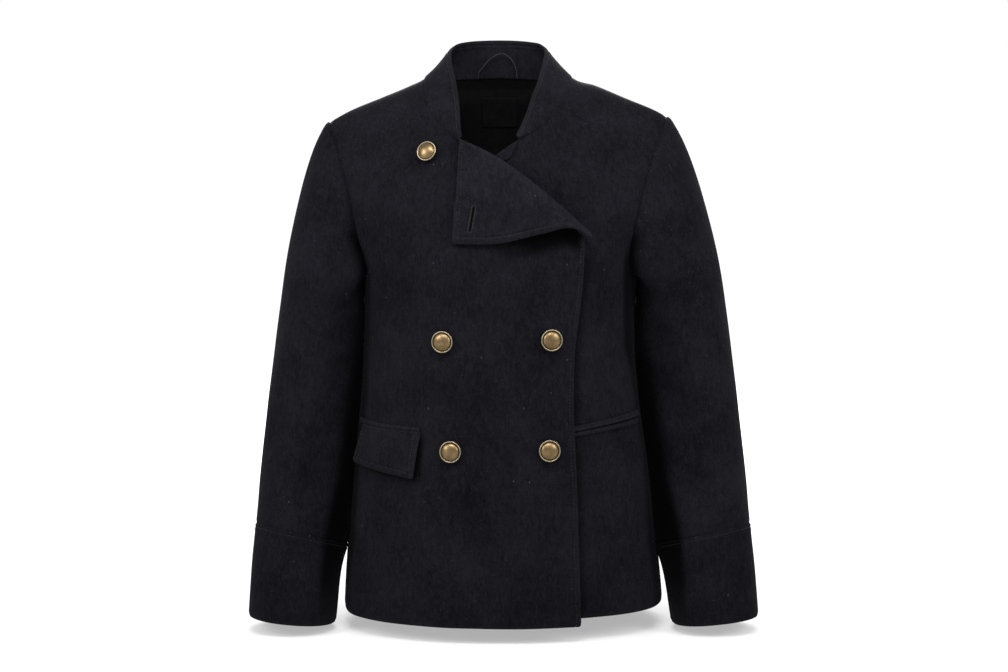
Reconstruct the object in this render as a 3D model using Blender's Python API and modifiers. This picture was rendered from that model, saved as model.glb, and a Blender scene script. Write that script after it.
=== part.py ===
"""Double-breasted short overcoat, hollow, as held out at the shoulders.

Metres. X to the viewer's right, the front faces -Y, Z up; the origin is the middle of the shoulder line.
Every cut piece is a closed wall. A place on the body is (turn, height): turn 0 is the centre front, 1 the
viewer's right side, 2 the centre back and -1 (or 3) the viewer's left side.
"""
import math

import bpy
import numpy as np
from mathutils import Vector

for old in list(bpy.data.objects):
    bpy.data.objects.remove(old, do_unlink=True)
COAT = bpy.data.collections.new("overcoat")
bpy.context.scene.collection.children.link(COAT)

# ---------------------------------------------------------------- sizes
WALL = 0.0028          # wool with its lining
EDGE_WALL = 0.0042     # two layers of wool: fronts near the edge, lapel, collar, cuffs
SEAM = 0.0003          # left open between pieces at a seam
UNDERLAP = 0.0056      # how far the under-front lies inside the over-front
UNDERLAP_ACROSS = (0.104, 0.152)     # where it comes back out to the body's form, across
UNDERLAP_UP = (-0.090, -0.058)       # and towards the neck
FACING_RIGHT = (-0.040, 0.0)         # where the over-front grows to two layers, across
FACING_LEFT = (0.040, 0.0)           # and the under-front
FACING_TOP = (-0.10, -0.07)          # where the under-front thins again towards its neckline
CHEST = -0.235         # height under the arms, where the body starts to close over the shoulders
FRONT_ROUND = (2.6, 0.62)
BACK_ROUND = (3.0, 0.60)
SQUARENESS = 2.35      # 2 would be an ellipse
WIDE = 1.3             # half width of the body for each unit of its depth, to share out the turns
TURN_LENGTH = 0.232    # round the body in one turn

# Rings of the body: height, half width to the viewer's left and right, depth to the front, depth to the back
RINGS = (
    (-0.640, 0.1850, 0.1855, 0.1330, 0.1160),
    (-0.600, 0.1835, 0.1840, 0.1320, 0.1150),
    (-0.520, 0.1785, 0.1770, 0.1290, 0.1100),
    (-0.446, 0.1715, 0.1680, 0.1260, 0.1040),
    (-0.370, 0.1640, 0.1565, 0.1225, 0.0985),
    (-0.300, 0.1595, 0.1510, 0.1220, 0.0990),
    (-0.235, 0.1605, 0.1545, 0.1200, 0.1030),
    (-0.150, 0.1870, 0.1870, 0.1150, 0.1070),
    (-0.060, 0.2140, 0.2140, 0.1080, 0.0990),
    (0.060, 0.2220, 0.2220, 0.1050, 0.0900),
)

# Ridge of the shoulders: across, height
SHOULDER_LINE = (
    (-0.222, -0.0660), (-0.199, -0.0545), (-0.175, -0.0415), (-0.140, -0.0270), (-0.105, -0.0125),
    (-0.0905, -0.0055), (-0.067, 0.0200), (-0.035, 0.0400), (-0.005, 0.0460), (0.028, 0.0400),
    (0.057, 0.0200), (0.0795, -0.0040), (0.105, -0.0125), (0.140, -0.0270), (0.175, -0.0415),
    (0.199, -0.0545), (0.222, -0.0660),
)
NECK_RIGHT, NECK_LEFT = -0.0905, 0.0795      # where collar, front and back meet, across
TIP_RIGHT, TIP_LEFT = -0.1970, 0.1860        # shoulder tips, across

# Armholes above the armpit: height, across on the wearer's right front, left front and the back
ARMHOLE = (
    (-0.215, 0.1500, 0.1425, 0.1520),
    (-0.190, 0.1590, 0.1425, 0.1570),
    (-0.150, 0.1695, 0.1505, 0.1630),
    (-0.105, 0.1805, 0.1625, 0.1720),
    (-0.078, 0.1885, 0.1715, 0.1810),
)
ARMPIT = -0.256
# Lower curve of the armholes: turn from the middle, height
ARMHOLE_FOOT = ((1.0, ARMPIT), (0.945, -0.2535), (0.885, -0.2440), (0.835, -0.2300))

# Necklines of the fronts from the shoulder down: across, height
NECKLINE_RIGHT = ((-0.0905, -0.0055), (-0.0875, -0.0260), (-0.0790, -0.0450), (-0.0665, -0.0600), (-0.0490, -0.0755))
NECKLINE_LEFT = ((0.0795, -0.0040), (0.0735, -0.0200), (0.0660, -0.0340), (0.0540, -0.0480), (0.0400, -0.0600),
                 (0.0190, -0.0715))
# Back neckline: across, height
NECKLINE_BACK = ((0.062, -0.0064), (0.036, -0.0056), (-0.005, -0.0042), (-0.046, -0.0056), (-0.073, -0.0066))

# Fold line of the over-front and front edge below it: across, height
FOLD = ((-0.0480, -0.0715), (-0.0142, -0.0870), (0.0400, -0.1245), (0.0940, -0.1730))
FRONT_EDGE = ((-0.6110, 0.0870), (-0.5500, 0.0850), (-0.4478, 0.0816), (-0.3869, 0.0785), (-0.2938, 0.0802),
              (-0.2300, 0.0880), (-0.1820, 0.0960))
UNDER_FOLD = ((0.0190, -0.0715), (-0.0060, -0.0880), (-0.0450, -0.1260), (-0.0840, -0.1760))
UNDER_EDGE = ((-0.6000, -0.0850), (-0.4478, -0.0800), (-0.2938, -0.0790), (-0.1820, -0.0860))
HEM = -0.6110
UNDER_HEM = -0.6030

CORNER_BLEND = 0.75    # share of the height above which a front edge bends to its upper corner

# Lapel, folded out: the rise of the curl and how far its edge stands off
LAPEL_CURL = (0.0016, 0.0046)       # inner radius at the collar and at the tip
LAPEL_STAND = (0.0016, 0.0100)      # gap under the free edge at the corner and at the tip
# Free edge of the lapel from its corner to the rolled tip: share along, across, height
LAPEL_EDGE = ((0.0, -0.0545, -0.1850), (0.35, -0.0035, -0.1840), (0.65, 0.0400, -0.1745), (0.88, 0.0735, -0.1712),
              (1.0, 0.0900, -0.1815))
CURL_ROWS, LAPEL_ROWS = 6, 8

COLLAR_BOW = 0.0022                 # how far the collar bows out between seam and edge
NECK_MIDDLE = (-0.005, -0.02, -0.06)

# Free edge of the collar, round from the wearer's right: share round, across, out, up
COLLAR_EDGE = (
    (0.00, -0.0470, -0.0885, -0.0672), (0.05, -0.0480, -0.0790, -0.0560), (0.10, -0.0490, -0.0660, -0.0400),
    (0.15, -0.0508, -0.0460, -0.0255), (0.20, -0.0545, -0.0300, -0.0060), (0.25, -0.0600, -0.0080, 0.0125),
    (0.30, -0.0612, 0.0180, 0.0258), (0.35, -0.0545, 0.0385, 0.0328), (0.40, -0.0395, 0.0505, 0.0358),
    (0.45, -0.0220, 0.0572, 0.0369), (0.50, -0.0050, 0.0590, 0.0372), (0.55, 0.0120, 0.0572, 0.0370),
    (0.60, 0.0290, 0.0505, 0.0360), (0.65, 0.0440, 0.0385, 0.0335), (0.70, 0.0495, 0.0180, 0.0262),
    (0.75, 0.0465, -0.0070, 0.0135), (0.80, 0.0398, -0.0340, -0.0080), (0.85, 0.0330, -0.0530, -0.0240),
    (0.90, 0.0275, -0.0680, -0.0395), (0.95, 0.0220, -0.0810, -0.0535), (1.00, 0.0165, -0.0910, -0.0668),
)

# Sleeves: height, centre across, centre out, half width, half depth
SLEEVE = (
    (-0.262, 0.2085, 0.0010, 0.0462, 0.0660),
    (-0.309, 0.2128, 0.0000, 0.0492, 0.0645),
    (-0.3645, 0.2180, -0.0020, 0.0515, 0.0620),
    (-0.420, 0.2238, -0.0065, 0.0515, 0.0590),
    (-0.475, 0.2292, -0.0155, 0.0518, 0.0560),
    (-0.524, 0.2331, -0.0269, 0.0512, 0.0540),
)
CUFF = (
    (-0.524, 0.2331, -0.0269, 0.0520, 0.0548),
    (-0.560, 0.2362, -0.0355, 0.0514, 0.0540),
    (-0.619, 0.2415, -0.0480, 0.0500, 0.0525),
)

# A sleeve leaves its armhole: along this direction on the viewer's right, spread by this share of the hole's radius
SLEEVE_LEAVES, SLEEVE_SPREAD = (0.95, 0.0, -0.22), 0.42
CAP_LEAVE, CAP_ARRIVE = 0.045, 0.95           # pull of the cap's curve at the armhole, and at the arm as a share
SLEEVE_ROUND = 2.2                            # 2 would be an ellipse
CAP_FULL = 0.0048                             # how far the cap swells outward halfway down
ARM_LEAN = 0.72                               # share of the arm's forward lean that its rings follow
CUFF_SLANT, SLANT_REACH = 0.14, 0.045         # extra slant of the cuff's seam towards the body, and how far it fades
MITRE_LEAST = 0.72                            # keeps a mitre from growing past its wall

# Pieces on the fronts: corners (across, height) round from the upper left, gap above and below, thickness, columns, rows
POCKETS = (
    ("pocket_flap", ((-0.1570, -0.3950), (-0.0919, -0.3958), (-0.0975, -0.4455), (-0.1640, -0.4370)),
     0.0005, 0.0050, 0.0036, 8, 4),
    ("jet_right", ((-0.1600, -0.3890), (-0.0930, -0.3905), (-0.0930, -0.3943), (-0.1600, -0.3930)),
     0.0005, 0.0005, 0.0030, 8, 1),
    ("jet_left_upper", ((0.0800, -0.3895), (0.1495, -0.3796), (0.1495, -0.3841), (0.0800, -0.3935)),
     0.0005, 0.0005, 0.0030, 8, 1),
    ("jet_left_lower", ((0.0800, -0.3950), (0.1495, -0.3870), (0.1495, -0.3920), (0.0800, -0.3993)),
     0.0005, 0.0005, 0.0026, 8, 1),
)

# Pieces inside the back: turns of both sides, heights of both ends, depth in the cloth, thickness, columns, rows
TRIMS = (
    ("back_lining", (1.46, 2.54), (-0.0140, -0.2200), WALL + 0.0013, 0.0008, 20, 12),
    ("neck_label", (1.946, 2.077), (-0.0262, -0.0602), WALL + 0.0028, 0.0006, 4, 3),
)
BELOW_RIDGE = 0.024    # least drop of a trim's upper edge under the shoulder line

# Hanging loop, from its foot on the viewer's left: across, out, up
LOOP = ((-0.0285, 0.0508, -0.0050), (-0.0280, 0.0508, 0.0010), (-0.0229, 0.0508, 0.0070), (-0.0131, 0.0508, 0.0176),
        (-0.0005, 0.0508, 0.0226), (0.0081, 0.0508, 0.0176), (0.0153, 0.0508, 0.0030), (0.0163, 0.0508, -0.0050))
LOOP_RADIUS, LOOP_STEPS = 0.0011, 16

# Button profile from the top of the dome to the foot of the shank: radius, height above the cloth
SHANK, SHANK_FOOT = 0.0026, 0.0006
DOME = ((0.0, 0.0099), (0.0034, 0.0096), (0.0064, 0.0088), (0.0090, 0.0074), (0.0106, 0.0058), (0.0112, 0.0060),
        (0.0120, 0.0056), (0.0121, 0.0046), (0.0112, 0.0038), (SHANK, 0.0034), (SHANK, SHANK_FOOT), (0.0, SHANK_FOOT))
BUTTON_SIDES = 16
# Buttons: name, across, height, share of the full size
BUTTONS = (
    ("button_top", -0.0823, -0.0870, 0.93),
    ("button_mid_right", -0.0655, -0.2931, 1.0),
    ("button_mid_left", 0.0525, -0.2909, 1.0),
    ("button_low_right", -0.0571, -0.4146, 1.0),
    ("button_low_left", 0.0506, -0.4134, 1.0),
)

# How far the inner side of an arm is drawn in towards the body, which then stops it: height, reach
ARM_REACH = {
    -1: ((-0.262, 0.0060), (-0.309, 0.0072), (-0.3645, 0.0062), (-0.420, 0.0062), (-0.475, 0.0052), (-0.522, 0.0016),
         (-0.560, 0.0), (-0.619, 0.0)),
    1: ((-0.262, 0.0120), (-0.309, 0.0155), (-0.3645, 0.0138), (-0.420, 0.0112), (-0.475, 0.0088), (-0.522, 0.0046),
        (-0.560, 0.0026), (-0.619, 0.0)),
}
ARM_CLEAR = 0.0012        # left between an arm and the body's side

# Rows and columns of the walls
ROWS_SIDE, ROWS_ARM = 9, 11
ARM_BEND = 1.25        # rows of an armhole lie closer towards its tip
COLS_SHOULDER, COLS_NECK, COLS_BACK_NECK, COLS_FOLD, COLS_UNDER = 6, 5, 10, 8, 7
ROWS_SLEEVE_CAP, ROWS_SLEEVE, ROWS_CUFF, ROWS_COLLAR = 7, 8, 3, 4


# ---------------------------------------------------------------- curves
def through(xs, ys, at):
    """A smooth curve through (xs, ys), xs rising, read at `at`."""
    xs, ys = np.asarray(xs, float), np.asarray(ys, float)
    at = np.clip(np.asarray(at, float), xs[0], xs[-1])
    slope = np.gradient(ys, xs)
    i = np.clip(np.searchsorted(xs, at, side="right") - 1, 0, len(xs) - 2)
    h = xs[i + 1] - xs[i]
    t = (at - xs[i]) / h
    return ((1 + 2 * t) * (1 - t) ** 2 * ys[i] + t * (1 - t) ** 2 * h * slope[i]
            + t * t * (3 - 2 * t) * ys[i + 1] + t * t * (t - 1) * h * slope[i + 1])


def column(table, k):
    return np.array([row[k] for row in table], float)


def along(points, count, bend=1.0, place=None):
    """`count` + 1 places along a smooth path, closer to its end if bend is over 1; place turns them into space."""
    points = np.asarray(points, float)
    steps = np.r_[0, np.cumsum(np.linalg.norm(np.diff(points, axis=0), axis=1))]
    fine = np.linspace(0, steps[-1], 400)
    path = np.stack([through(steps, points[:, k], fine) for k in range(points.shape[1])], 1)
    spots = path if place is None else place(path[:, 0], path[:, 1])
    length = np.r_[0, np.cumsum(np.linalg.norm(np.diff(spots, axis=0), axis=1))]
    want = length[-1] * (1 - (1 - np.linspace(0, 1, count + 1)) ** bend)
    return np.stack([np.interp(want, length, path[:, k]) for k in range(path.shape[1])], 1)


def ease(x, low, high):
    t = np.clip((np.asarray(x, float) - low) / (high - low), 0, 1)
    return t * t * (3 - 2 * t)


def unit(v):
    return v / np.maximum(np.linalg.norm(v, axis=-1, keepdims=True), 1e-12)


# ---------------------------------------------------------------- the body's form
ARC = np.linspace(0, math.pi / 2, 900)
ARC_X, ARC_Y = np.sin(ARC) ** (2 / SQUARENESS), np.cos(ARC) ** (2 / SQUARENESS)
ARC_S = np.r_[0, np.cumsum(np.hypot(np.diff(ARC_X) * WIDE, np.diff(ARC_Y)))]
ARC_S = ARC_S / ARC_S[-1]


def ridge(x):
    return through(column(SHOULDER_LINE, 0), column(SHOULDER_LINE, 1), x)


def half_width(z, side):
    """Half the body's width at a height, to the viewer's left (side below 0) or right."""
    heights = column(RINGS, 0)
    return np.where(side < 0, through(heights, column(RINGS, 1), z), through(heights, column(RINGS, 2), z))


def body(turn, z):
    """The outer face of the body at a turn and a height."""
    turn, z = np.broadcast_arrays(np.asarray(turn, float), np.asarray(z, float))
    r = (turn + 2) % 4 - 2
    side, a = np.sign(r), np.abs(r)
    back = a > 1
    u = np.where(back, 2 - a, a)
    x = side * half_width(z, side) * np.interp(u, ARC_S, ARC_X)
    closing = np.clip((z - CHEST) / (ridge(x) - CHEST), 0, 1)
    front = -through(column(RINGS, 0), column(RINGS, 3), z) * (1 - closing ** FRONT_ROUND[0]) ** FRONT_ROUND[1]
    behind = through(column(RINGS, 0), column(RINGS, 4), z) * (1 - closing ** BACK_ROUND[0]) ** BACK_ROUND[1]
    y = np.where(back, behind, front) * np.interp(u, ARC_S, ARC_Y)
    return np.stack([x, y, z], -1)


def body_normal(turn, z):
    turn, z = np.asarray(turn, float), np.asarray(z, float)
    across = body(turn + 2e-4, z) - body(turn - 2e-4, z)
    up = body(turn, z) - body(turn, z - 2e-4)
    return unit(np.cross(across, up))


def ridge_normal(x):
    rise = (ridge(x + 1e-4) - ridge(x - 1e-4)) / 2e-4
    return unit(np.stack([-rise, np.zeros_like(rise), np.ones_like(rise)], -1))


def turn_at(x, z):
    """The turn on the front at a place across; the back's is 2 minus it."""
    return np.sign(x) * np.interp(np.abs(x) / half_width(z, np.sign(x)), ARC_X, ARC_S)


def on_front(points):
    points = np.asarray(points, float)
    return np.stack([turn_at(points[:, 0], points[:, 1]), points[:, 1]], 1)


# ---------------------------------------------------------------- seams as (turn, height)
def armhole(side, back):
    """From the armpit to the shoulder tip on one side (-1 is the wearer's right)."""
    tip = TIP_RIGHT if side < 0 else TIP_LEFT
    across = column(ARMHOLE, 3 if back else (1 if side < 0 else 2))
    z = np.r_[column(ARMHOLE, 0), float(ridge(np.array(tip)))]
    x = np.r_[across, abs(tip)]
    rows = np.vstack([ARMHOLE_FOOT, np.stack([turn_at(x, z), z], 1)])
    if back:
        rows[:, 0] = 2 - rows[:, 0]
    rows[:, 0] *= side
    return along(rows, ROWS_ARM, ARM_BEND, body)


def side_seam(side, low):
    z = low + (ARMPIT - low) * np.linspace(0, 1, ROWS_SIDE + 1)
    return np.stack([np.full(len(z), float(side)), z], 1)


def shoulder(side, back):
    """From the tip to the neck along the ridge."""
    tip, neck = (TIP_RIGHT, NECK_RIGHT) if side < 0 else (TIP_LEFT, NECK_LEFT)
    x = np.linspace(tip, neck, COLS_SHOULDER + 1)
    z = ridge(x)
    t = turn_at(x, z)
    return np.stack([side * 2 - t if back else t, z], 1)


def back_neckline():
    """From the viewer's right to the viewer's left round the back of the neck."""
    x = np.r_[NECK_LEFT, column(NECKLINE_BACK, 0), NECK_RIGHT]
    drop = np.r_[ridge(NECK_LEFT), column(NECKLINE_BACK, 1), ridge(NECK_RIGHT)]
    return along(np.stack([2 - turn_at(x, drop), drop], 1), COLS_BACK_NECK, 1.0, body)


def fill(bottom, top, left, right, hold=4.0):
    """Rows of (turn, height) between four edges; bottom and top run with turn, left and right go up.

    What bends the left and right edges fades within the panel, faster with a larger hold.
    """
    rise = [(e[:, 1] - e[0, 1]) / (e[-1, 1] - e[0, 1]) for e in (left, right)]
    v = np.clip(0.5 * (rise[0] + rise[1]), 0, 1)[:, None, None]
    u = np.linspace(0, 1, len(bottom))[None, :, None]
    between = (1 - v) * bottom[None] + v * top[None]
    bend_left = left[:, None, :] - ((1 - v) * bottom[0] + v * top[0])
    bend_right = right[:, None, :] - ((1 - v) * bottom[-1] + v * top[-1])
    keep = np.array([hold, 1.0])
    return between + bend_left * (1 - u) ** keep + bend_right * u ** keep


# ---------------------------------------------------------------- walls
def wall(name, outer, inner, material, ring=False):
    """A closed wall between two grids of the same size; a ring joins its last column to its first."""
    rows, cols = outer.shape[:2]
    count = rows * cols
    verts = np.vstack([outer.reshape(-1, 3), inner.reshape(-1, 3)])
    faces = []
    last = cols if ring else cols - 1
    for i in range(rows - 1):
        for j in range(last):
            k = (j + 1) % cols
            a, b, c, d = i * cols + j, i * cols + k, (i + 1) * cols + k, (i + 1) * cols + j
            faces += [(a, b, c, d), (a + count, d + count, c + count, b + count)]
    for j in range(last):
        k = (j + 1) % cols
        faces.append((j, j + count, k + count, k))
        a, b = (rows - 1) * cols + j, (rows - 1) * cols + k
        faces.append((a, b, b + count, a + count))
    if not ring:
        for i in range(rows - 1):
            a, b = i * cols, (i + 1) * cols
            faces.append((a, b, b + count, a + count))
            a, b = a + cols - 1, b + cols - 1
            faces.append((a, a + count, b + count, b))
    return solid(name, verts, faces, material)


def finish(name, look):
    material = bpy.data.materials.new(name)
    material.use_nodes = True
    shader = material.node_tree.nodes["Principled BSDF"]
    shader.inputs["Base Color"].default_value = (*look["colour"], 1.0)
    shader.inputs["Metallic"].default_value = look["metal"]
    shader.inputs["Roughness"].default_value = look["rough"]
    return material


def solid(name, verts, faces, look, edges=()):
    mesh = bpy.data.meshes.new(name)
    mesh.from_pydata([tuple(v) for v in verts], edges, faces)
    mesh.update()
    obj = bpy.data.objects.new(name, mesh)
    COAT.objects.link(obj)
    mesh.materials.append(finish(name, look))
    return obj


WOOL = {"colour": (0.016, 0.017, 0.024), "metal": 0.0, "rough": 0.9}
LINING = {"colour": (0.008, 0.008, 0.010), "metal": 0.0, "rough": 0.4}
BRASS = {"colour": (0.42, 0.31, 0.17), "metal": 1.0, "rough": 0.35}


def mitre(edge_normal, next_normal):
    """The shared direction through the cloth where two walls meet, long enough to keep their thickness."""
    shared = unit(edge_normal + next_normal)
    return shared / np.maximum(np.sum(shared * edge_normal, -1, keepdims=True), MITRE_LEAST)


def slope(rows):
    return unit(np.gradient(rows, axis=0))


def under_depth(x, z):
    """How far the under-front lies in from the body's form."""
    return UNDERLAP * (1 - ease(x, *UNDERLAP_ACROSS)) * (1 - ease(z, *UNDERLAP_UP))


def under_front(turn, z):
    outer = body(turn, z)
    return outer - body_normal(turn, z) * under_depth(outer[..., 0], z)[..., None]


# ---------------------------------------------------------------- seams in space
def arm_loop(side):
    """Armhole from the armpit up the front, over the tip and down the back: points, mitres, starts, tangents."""
    front, back = armhole(side, False), armhole(side, True)
    places = np.vstack([front, back[-2:0:-1]])
    points = body(places[:, 0], places[:, 1])
    normals = body_normal(places[:, 0], places[:, 1])
    normals[ROWS_ARM] = ridge_normal(np.array([points[ROWS_ARM, 0]]))[0]
    normals[0] = (side, 0.0, 0.0)
    radial = unit((points - points.mean(0)) * (0.3, 1.0, 1.0))
    start = unit(np.array(SLEEVE_LEAVES) * (side, 1, 1) + SLEEVE_SPREAD * radial)
    ring = np.vstack([points[-1:], points, points[:1]])
    tangent = unit(ring[2:] - ring[:-2])
    cloth = unit(np.cross(tangent, start))
    cloth *= np.sign(np.sum(cloth * radial, -1, keepdims=True))
    shared = mitre(normals, cloth)
    for _ in range(2):
        shared = 0.25 * np.roll(shared, 1, 0) + 0.5 * shared + 0.25 * np.roll(shared, -1, 0)
    return points, shared, start, tangent


def neck_loop():
    """Neckline from the wearer's right front round the back to the left front."""
    right = along(on_front(NECKLINE_RIGHT), COLS_NECK, 1.0, body)[::-1]
    left = along(on_front(NECKLINE_LEFT), COLS_NECK, 1.0, body)
    back = back_neckline()[::-1]
    points = np.vstack([body(right[:, 0], right[:, 1]), body(back[1:-1, 0], back[1:-1, 1]),
                        under_front(left[:, 0], left[:, 1])])
    normals = np.vstack([body_normal(right[:, 0], right[:, 1]), body_normal(back[1:-1, 0], back[1:-1, 1]),
                         body_normal(left[:, 0], left[:, 1])])
    for k in (COLS_NECK, COLS_NECK + COLS_BACK_NECK):
        normals[k] = ridge_normal(points[k:k + 1, 0])[0]
    share = np.linspace(0, 1, len(points))
    edge = np.stack([through(column(COLLAR_EDGE, 0), column(COLLAR_EDGE, k), share) for k in (1, 2, 3)], 1)
    start = unit(edge - points)
    cloth = unit(np.cross(slope(points), start))
    cloth *= np.sign(np.sum(cloth * (points - NECK_MIDDLE), -1, keepdims=True))
    shared = mitre(normals, cloth)
    for _ in range(2):
        shared[1:-1] = 0.25 * shared[:-2] + 0.5 * shared[1:-1] + 0.25 * shared[2:]
    return points, edge, shared, cloth, start


def fold_rows():
    """Lapel lines on the over-front: where the curl starts, the way up across the fold, the free edge."""
    fold = along(FOLD, COLS_FOLD)
    u = np.linspace(0, 1, COLS_FOLD + 1)[:, None]
    free = np.stack([through(column(LAPEL_EDGE, 0), column(LAPEL_EDGE, k), u[:, 0]) for k in (1, 2)], 1)
    up = unit(fold - free)
    radius = LAPEL_CURL[0] + (LAPEL_CURL[1] - LAPEL_CURL[0]) * u ** 2
    return fold - up * (radius + EDGE_WALL), up, free, radius


# ---------------------------------------------------------------- panels
def to_corner(corner, x_top, v):
    """What carries a front edge smoothly on to the panel's upper corner."""
    side = np.sign(corner[0])
    want = side * float(half_width(corner[1], side)) * float(np.interp(abs(corner[0]), ARC_S, ARC_X))
    return (want - x_top) * np.clip((v - CORNER_BLEND) / (1 - CORNER_BLEND), 0, 1) ** 2


def front_panel(side):
    right = side < 0
    arm, tips = armhole(side, False), shoulder(side, False)
    low = HEM if right else UNDER_HEM
    outside = np.vstack([side_seam(side, low), arm[1:]])
    neck = along(on_front(NECKLINE_RIGHT if right else NECKLINE_LEFT), COLS_NECK, 1.0, body)
    if right:
        cross = on_front(fold_rows()[0])
        cross[0] = neck[-1]
        edge = FRONT_EDGE
    else:
        cross = on_front(along(UNDER_FOLD, COLS_UNDER))
        edge = UNDER_EDGE
    top = np.vstack([tips, neck[1:], cross[1:]])
    heights, across = column(edge, 0), column(edge, 1)
    v = (outside[:, 1] - outside[0, 1]) / (outside[-1, 1] - outside[0, 1])
    z = low + (top[-1, 1] - low) * v
    x = through(heights, across, z)
    x += to_corner(top[-1], x[-1], v)
    inside = on_front(np.stack([x, z], 1))
    inside[-1] = top[-1]
    bottom_turn = outside[0, 0] + (inside[0, 0] - outside[0, 0]) * np.linspace(0, 1, len(top))
    bottom = np.stack([bottom_turn, np.full(len(top), low)], 1)
    places = fill(bottom, top, outside, inside)
    places[:ROWS_SIDE + 1, 0, 0] -= side * 0.5 * SEAM / TURN_LENGTH
    outer = (body if right else under_front)(places[..., 0], places[..., 1])
    normals = body_normal(places[..., 0], places[..., 1])
    points, arm_mitre, _, _ = arm_loop(side)
    neck_points, _, neck_mitre, _, _ = neck_loop()
    n = COLS_SHOULDER
    outer[-1, :n + 1] = body(top[:n + 1, 0], top[:n + 1, 1])
    outer[-1, :n + 1, 1] = -0.5 * SEAM
    normals[-1, :n + 1] = ridge_normal(outer[-1, :n + 1, 0])
    outer[ROWS_SIDE:, 0] = points[:ROWS_ARM + 1]
    normals[ROWS_SIDE:, 0] = arm_mitre[:ROWS_ARM + 1]
    outer[-1, 0, 1] = outer[-1, n, 1] = -0.5 * SEAM
    rows = slice(0, COLS_NECK + 1) if right else slice(-COLS_NECK - 1, None)
    order = slice(None, None, -1) if right else slice(None)
    outer[-1, n + 1:n + COLS_NECK + 1] = neck_points[rows][order][1:]
    normals[-1, n:n + COLS_NECK + 1] = neck_mitre[rows][order]
    x = outer[..., 0]
    if right:
        facing = ease(x, *FACING_RIGHT)
    else:
        facing = ease(-x, *(-edge for edge in FACING_LEFT)) * (1 - ease(outer[..., 2], *FACING_TOP))
    thickness = WALL + (EDGE_WALL - WALL) * facing
    thickness[-1, :n + COLS_NECK + 1] = WALL
    wall("front_right" if right else "front_left", outer, outer - normals * thickness[..., None], WOOL)


def back_panel():
    right = np.vstack([side_seam(1, HEM), armhole(1, True)[1:]])
    left = np.vstack([side_seam(-1, HEM), armhole(-1, True)[1:]]) + (4.0, 0.0)
    top = np.vstack([shoulder(1, True), back_neckline()[1:], (shoulder(-1, True) + (4.0, 0.0))[::-1][1:]])
    cols = len(top)
    bottom = np.stack([np.linspace(1, 3, cols), np.full(cols, HEM)], 1)
    places = fill(bottom, top, right, left)
    gap = 0.5 * SEAM / TURN_LENGTH
    places[:ROWS_SIDE + 1, 0, 0] += gap
    places[:ROWS_SIDE + 1, -1, 0] -= gap
    outer = body(places[..., 0], places[..., 1])
    normals = body_normal(places[..., 0], places[..., 1])
    n = COLS_SHOULDER
    for span in (slice(0, n + 1), slice(cols - n - 1, cols)):
        outer[-1, span, 1] = 0.5 * SEAM
        normals[-1, span] = ridge_normal(outer[-1, span, 0])
    for col, side in ((0, 1), (-1, -1)):
        points, arm_mitre, _, _ = arm_loop(side)
        outer[ROWS_SIDE:, col] = np.vstack([points[:1], points[:ROWS_ARM - 1:-1]])
        normals[ROWS_SIDE:, col] = np.vstack([arm_mitre[:1], arm_mitre[:ROWS_ARM - 1:-1]])
        outer[-1, col, 1] = outer[ROWS_SIDE, col, 1] = 0.5 * SEAM
    neck_mitre = neck_loop()[2]
    span = slice(COLS_NECK, COLS_NECK + COLS_BACK_NECK + 1)
    normals[-1, n:cols - n] = neck_mitre[span][::-1]
    wall("back", outer, outer - normals * WALL, WOOL)


def lapel():
    start, up, free, radius = fold_rows()
    start[0] = np.array(NECKLINE_RIGHT[-1])
    start[0] += (start[1] - start[0]) * 0.14
    u = np.linspace(0, 1, len(start))
    places = on_front(start)
    base, normal = body(places[:, 0], places[:, 1]), body_normal(places[:, 0], places[:, 1])
    ahead = on_front(start + up * 0.002)
    rise = unit(body(ahead[:, 0], ahead[:, 1]) - base)
    inner, outer = [], []
    for angle in np.linspace(0, math.pi, CURL_ROWS + 1):
        centre = base + normal * radius + rise * 2 * SEAM * (angle == 0)
        arm = rise * math.sin(angle) - normal * math.cos(angle)
        inner.append(centre + arm * radius)
        outer.append(centre + arm * (radius + EDGE_WALL))
    stand = LAPEL_STAND[0] + (LAPEL_STAND[1] - LAPEL_STAND[0]) * u ** 1.6
    for v in np.linspace(0, 1, LAPEL_ROWS + 1)[1:]:
        spot = on_front(start + (free - start) * v)
        lay, out = body(spot[:, 0], spot[:, 1]), body_normal(spot[:, 0], spot[:, 1])
        gap = 2 * radius[:, 0] + (stand - 2 * radius[:, 0]) * ease(v, 0.0, 1.0)
        inner.append(lay + out * gap[:, None])
        outer.append(lay + out * (gap[:, None] + EDGE_WALL))
    wall("lapel", np.array(outer), np.array(inner), WOOL)


def collar():
    points, edge, shared, cloth, start = neck_loop()
    away = np.cross(unit(shared), slope(points))
    away = unit(away * np.sign(np.sum(away * start, -1, keepdims=True)))
    outer, inner = [], []
    for v in np.linspace(0, 1, ROWS_COLLAR + 1):
        row = points + (edge - points) * v + cloth * (COLLAR_BOW * 4 * v * (1 - v))
        through_cloth = shared + (unit(cloth) - shared) * min(1.0, v * ROWS_COLLAR)
        if v == 0:
            row = row + away * SEAM
        outer.append(row)
        inner.append(row - through_cloth * EDGE_WALL)
    wall("collar", np.array(outer), np.array(inner), WOOL)


# ---------------------------------------------------------------- sleeves
def beside_body(points, side, clear):
    """Moves an arm's points out where they would lie within the body's side."""
    heights, y, z = column(RINGS, 0), points[..., 1], points[..., 2]
    depth = np.where(y < 0, through(heights, column(RINGS, 3), z), through(heights, column(RINGS, 4), z))
    share = np.clip(np.abs(y) / depth, 0, 1)
    edge = half_width(z, side) * (1 - share ** SQUARENESS) ** (1 / SQUARENESS)
    moved = points.copy()
    moved[..., 0] += side * np.maximum(0, edge + clear - side * points[..., 0])
    return moved


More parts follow.
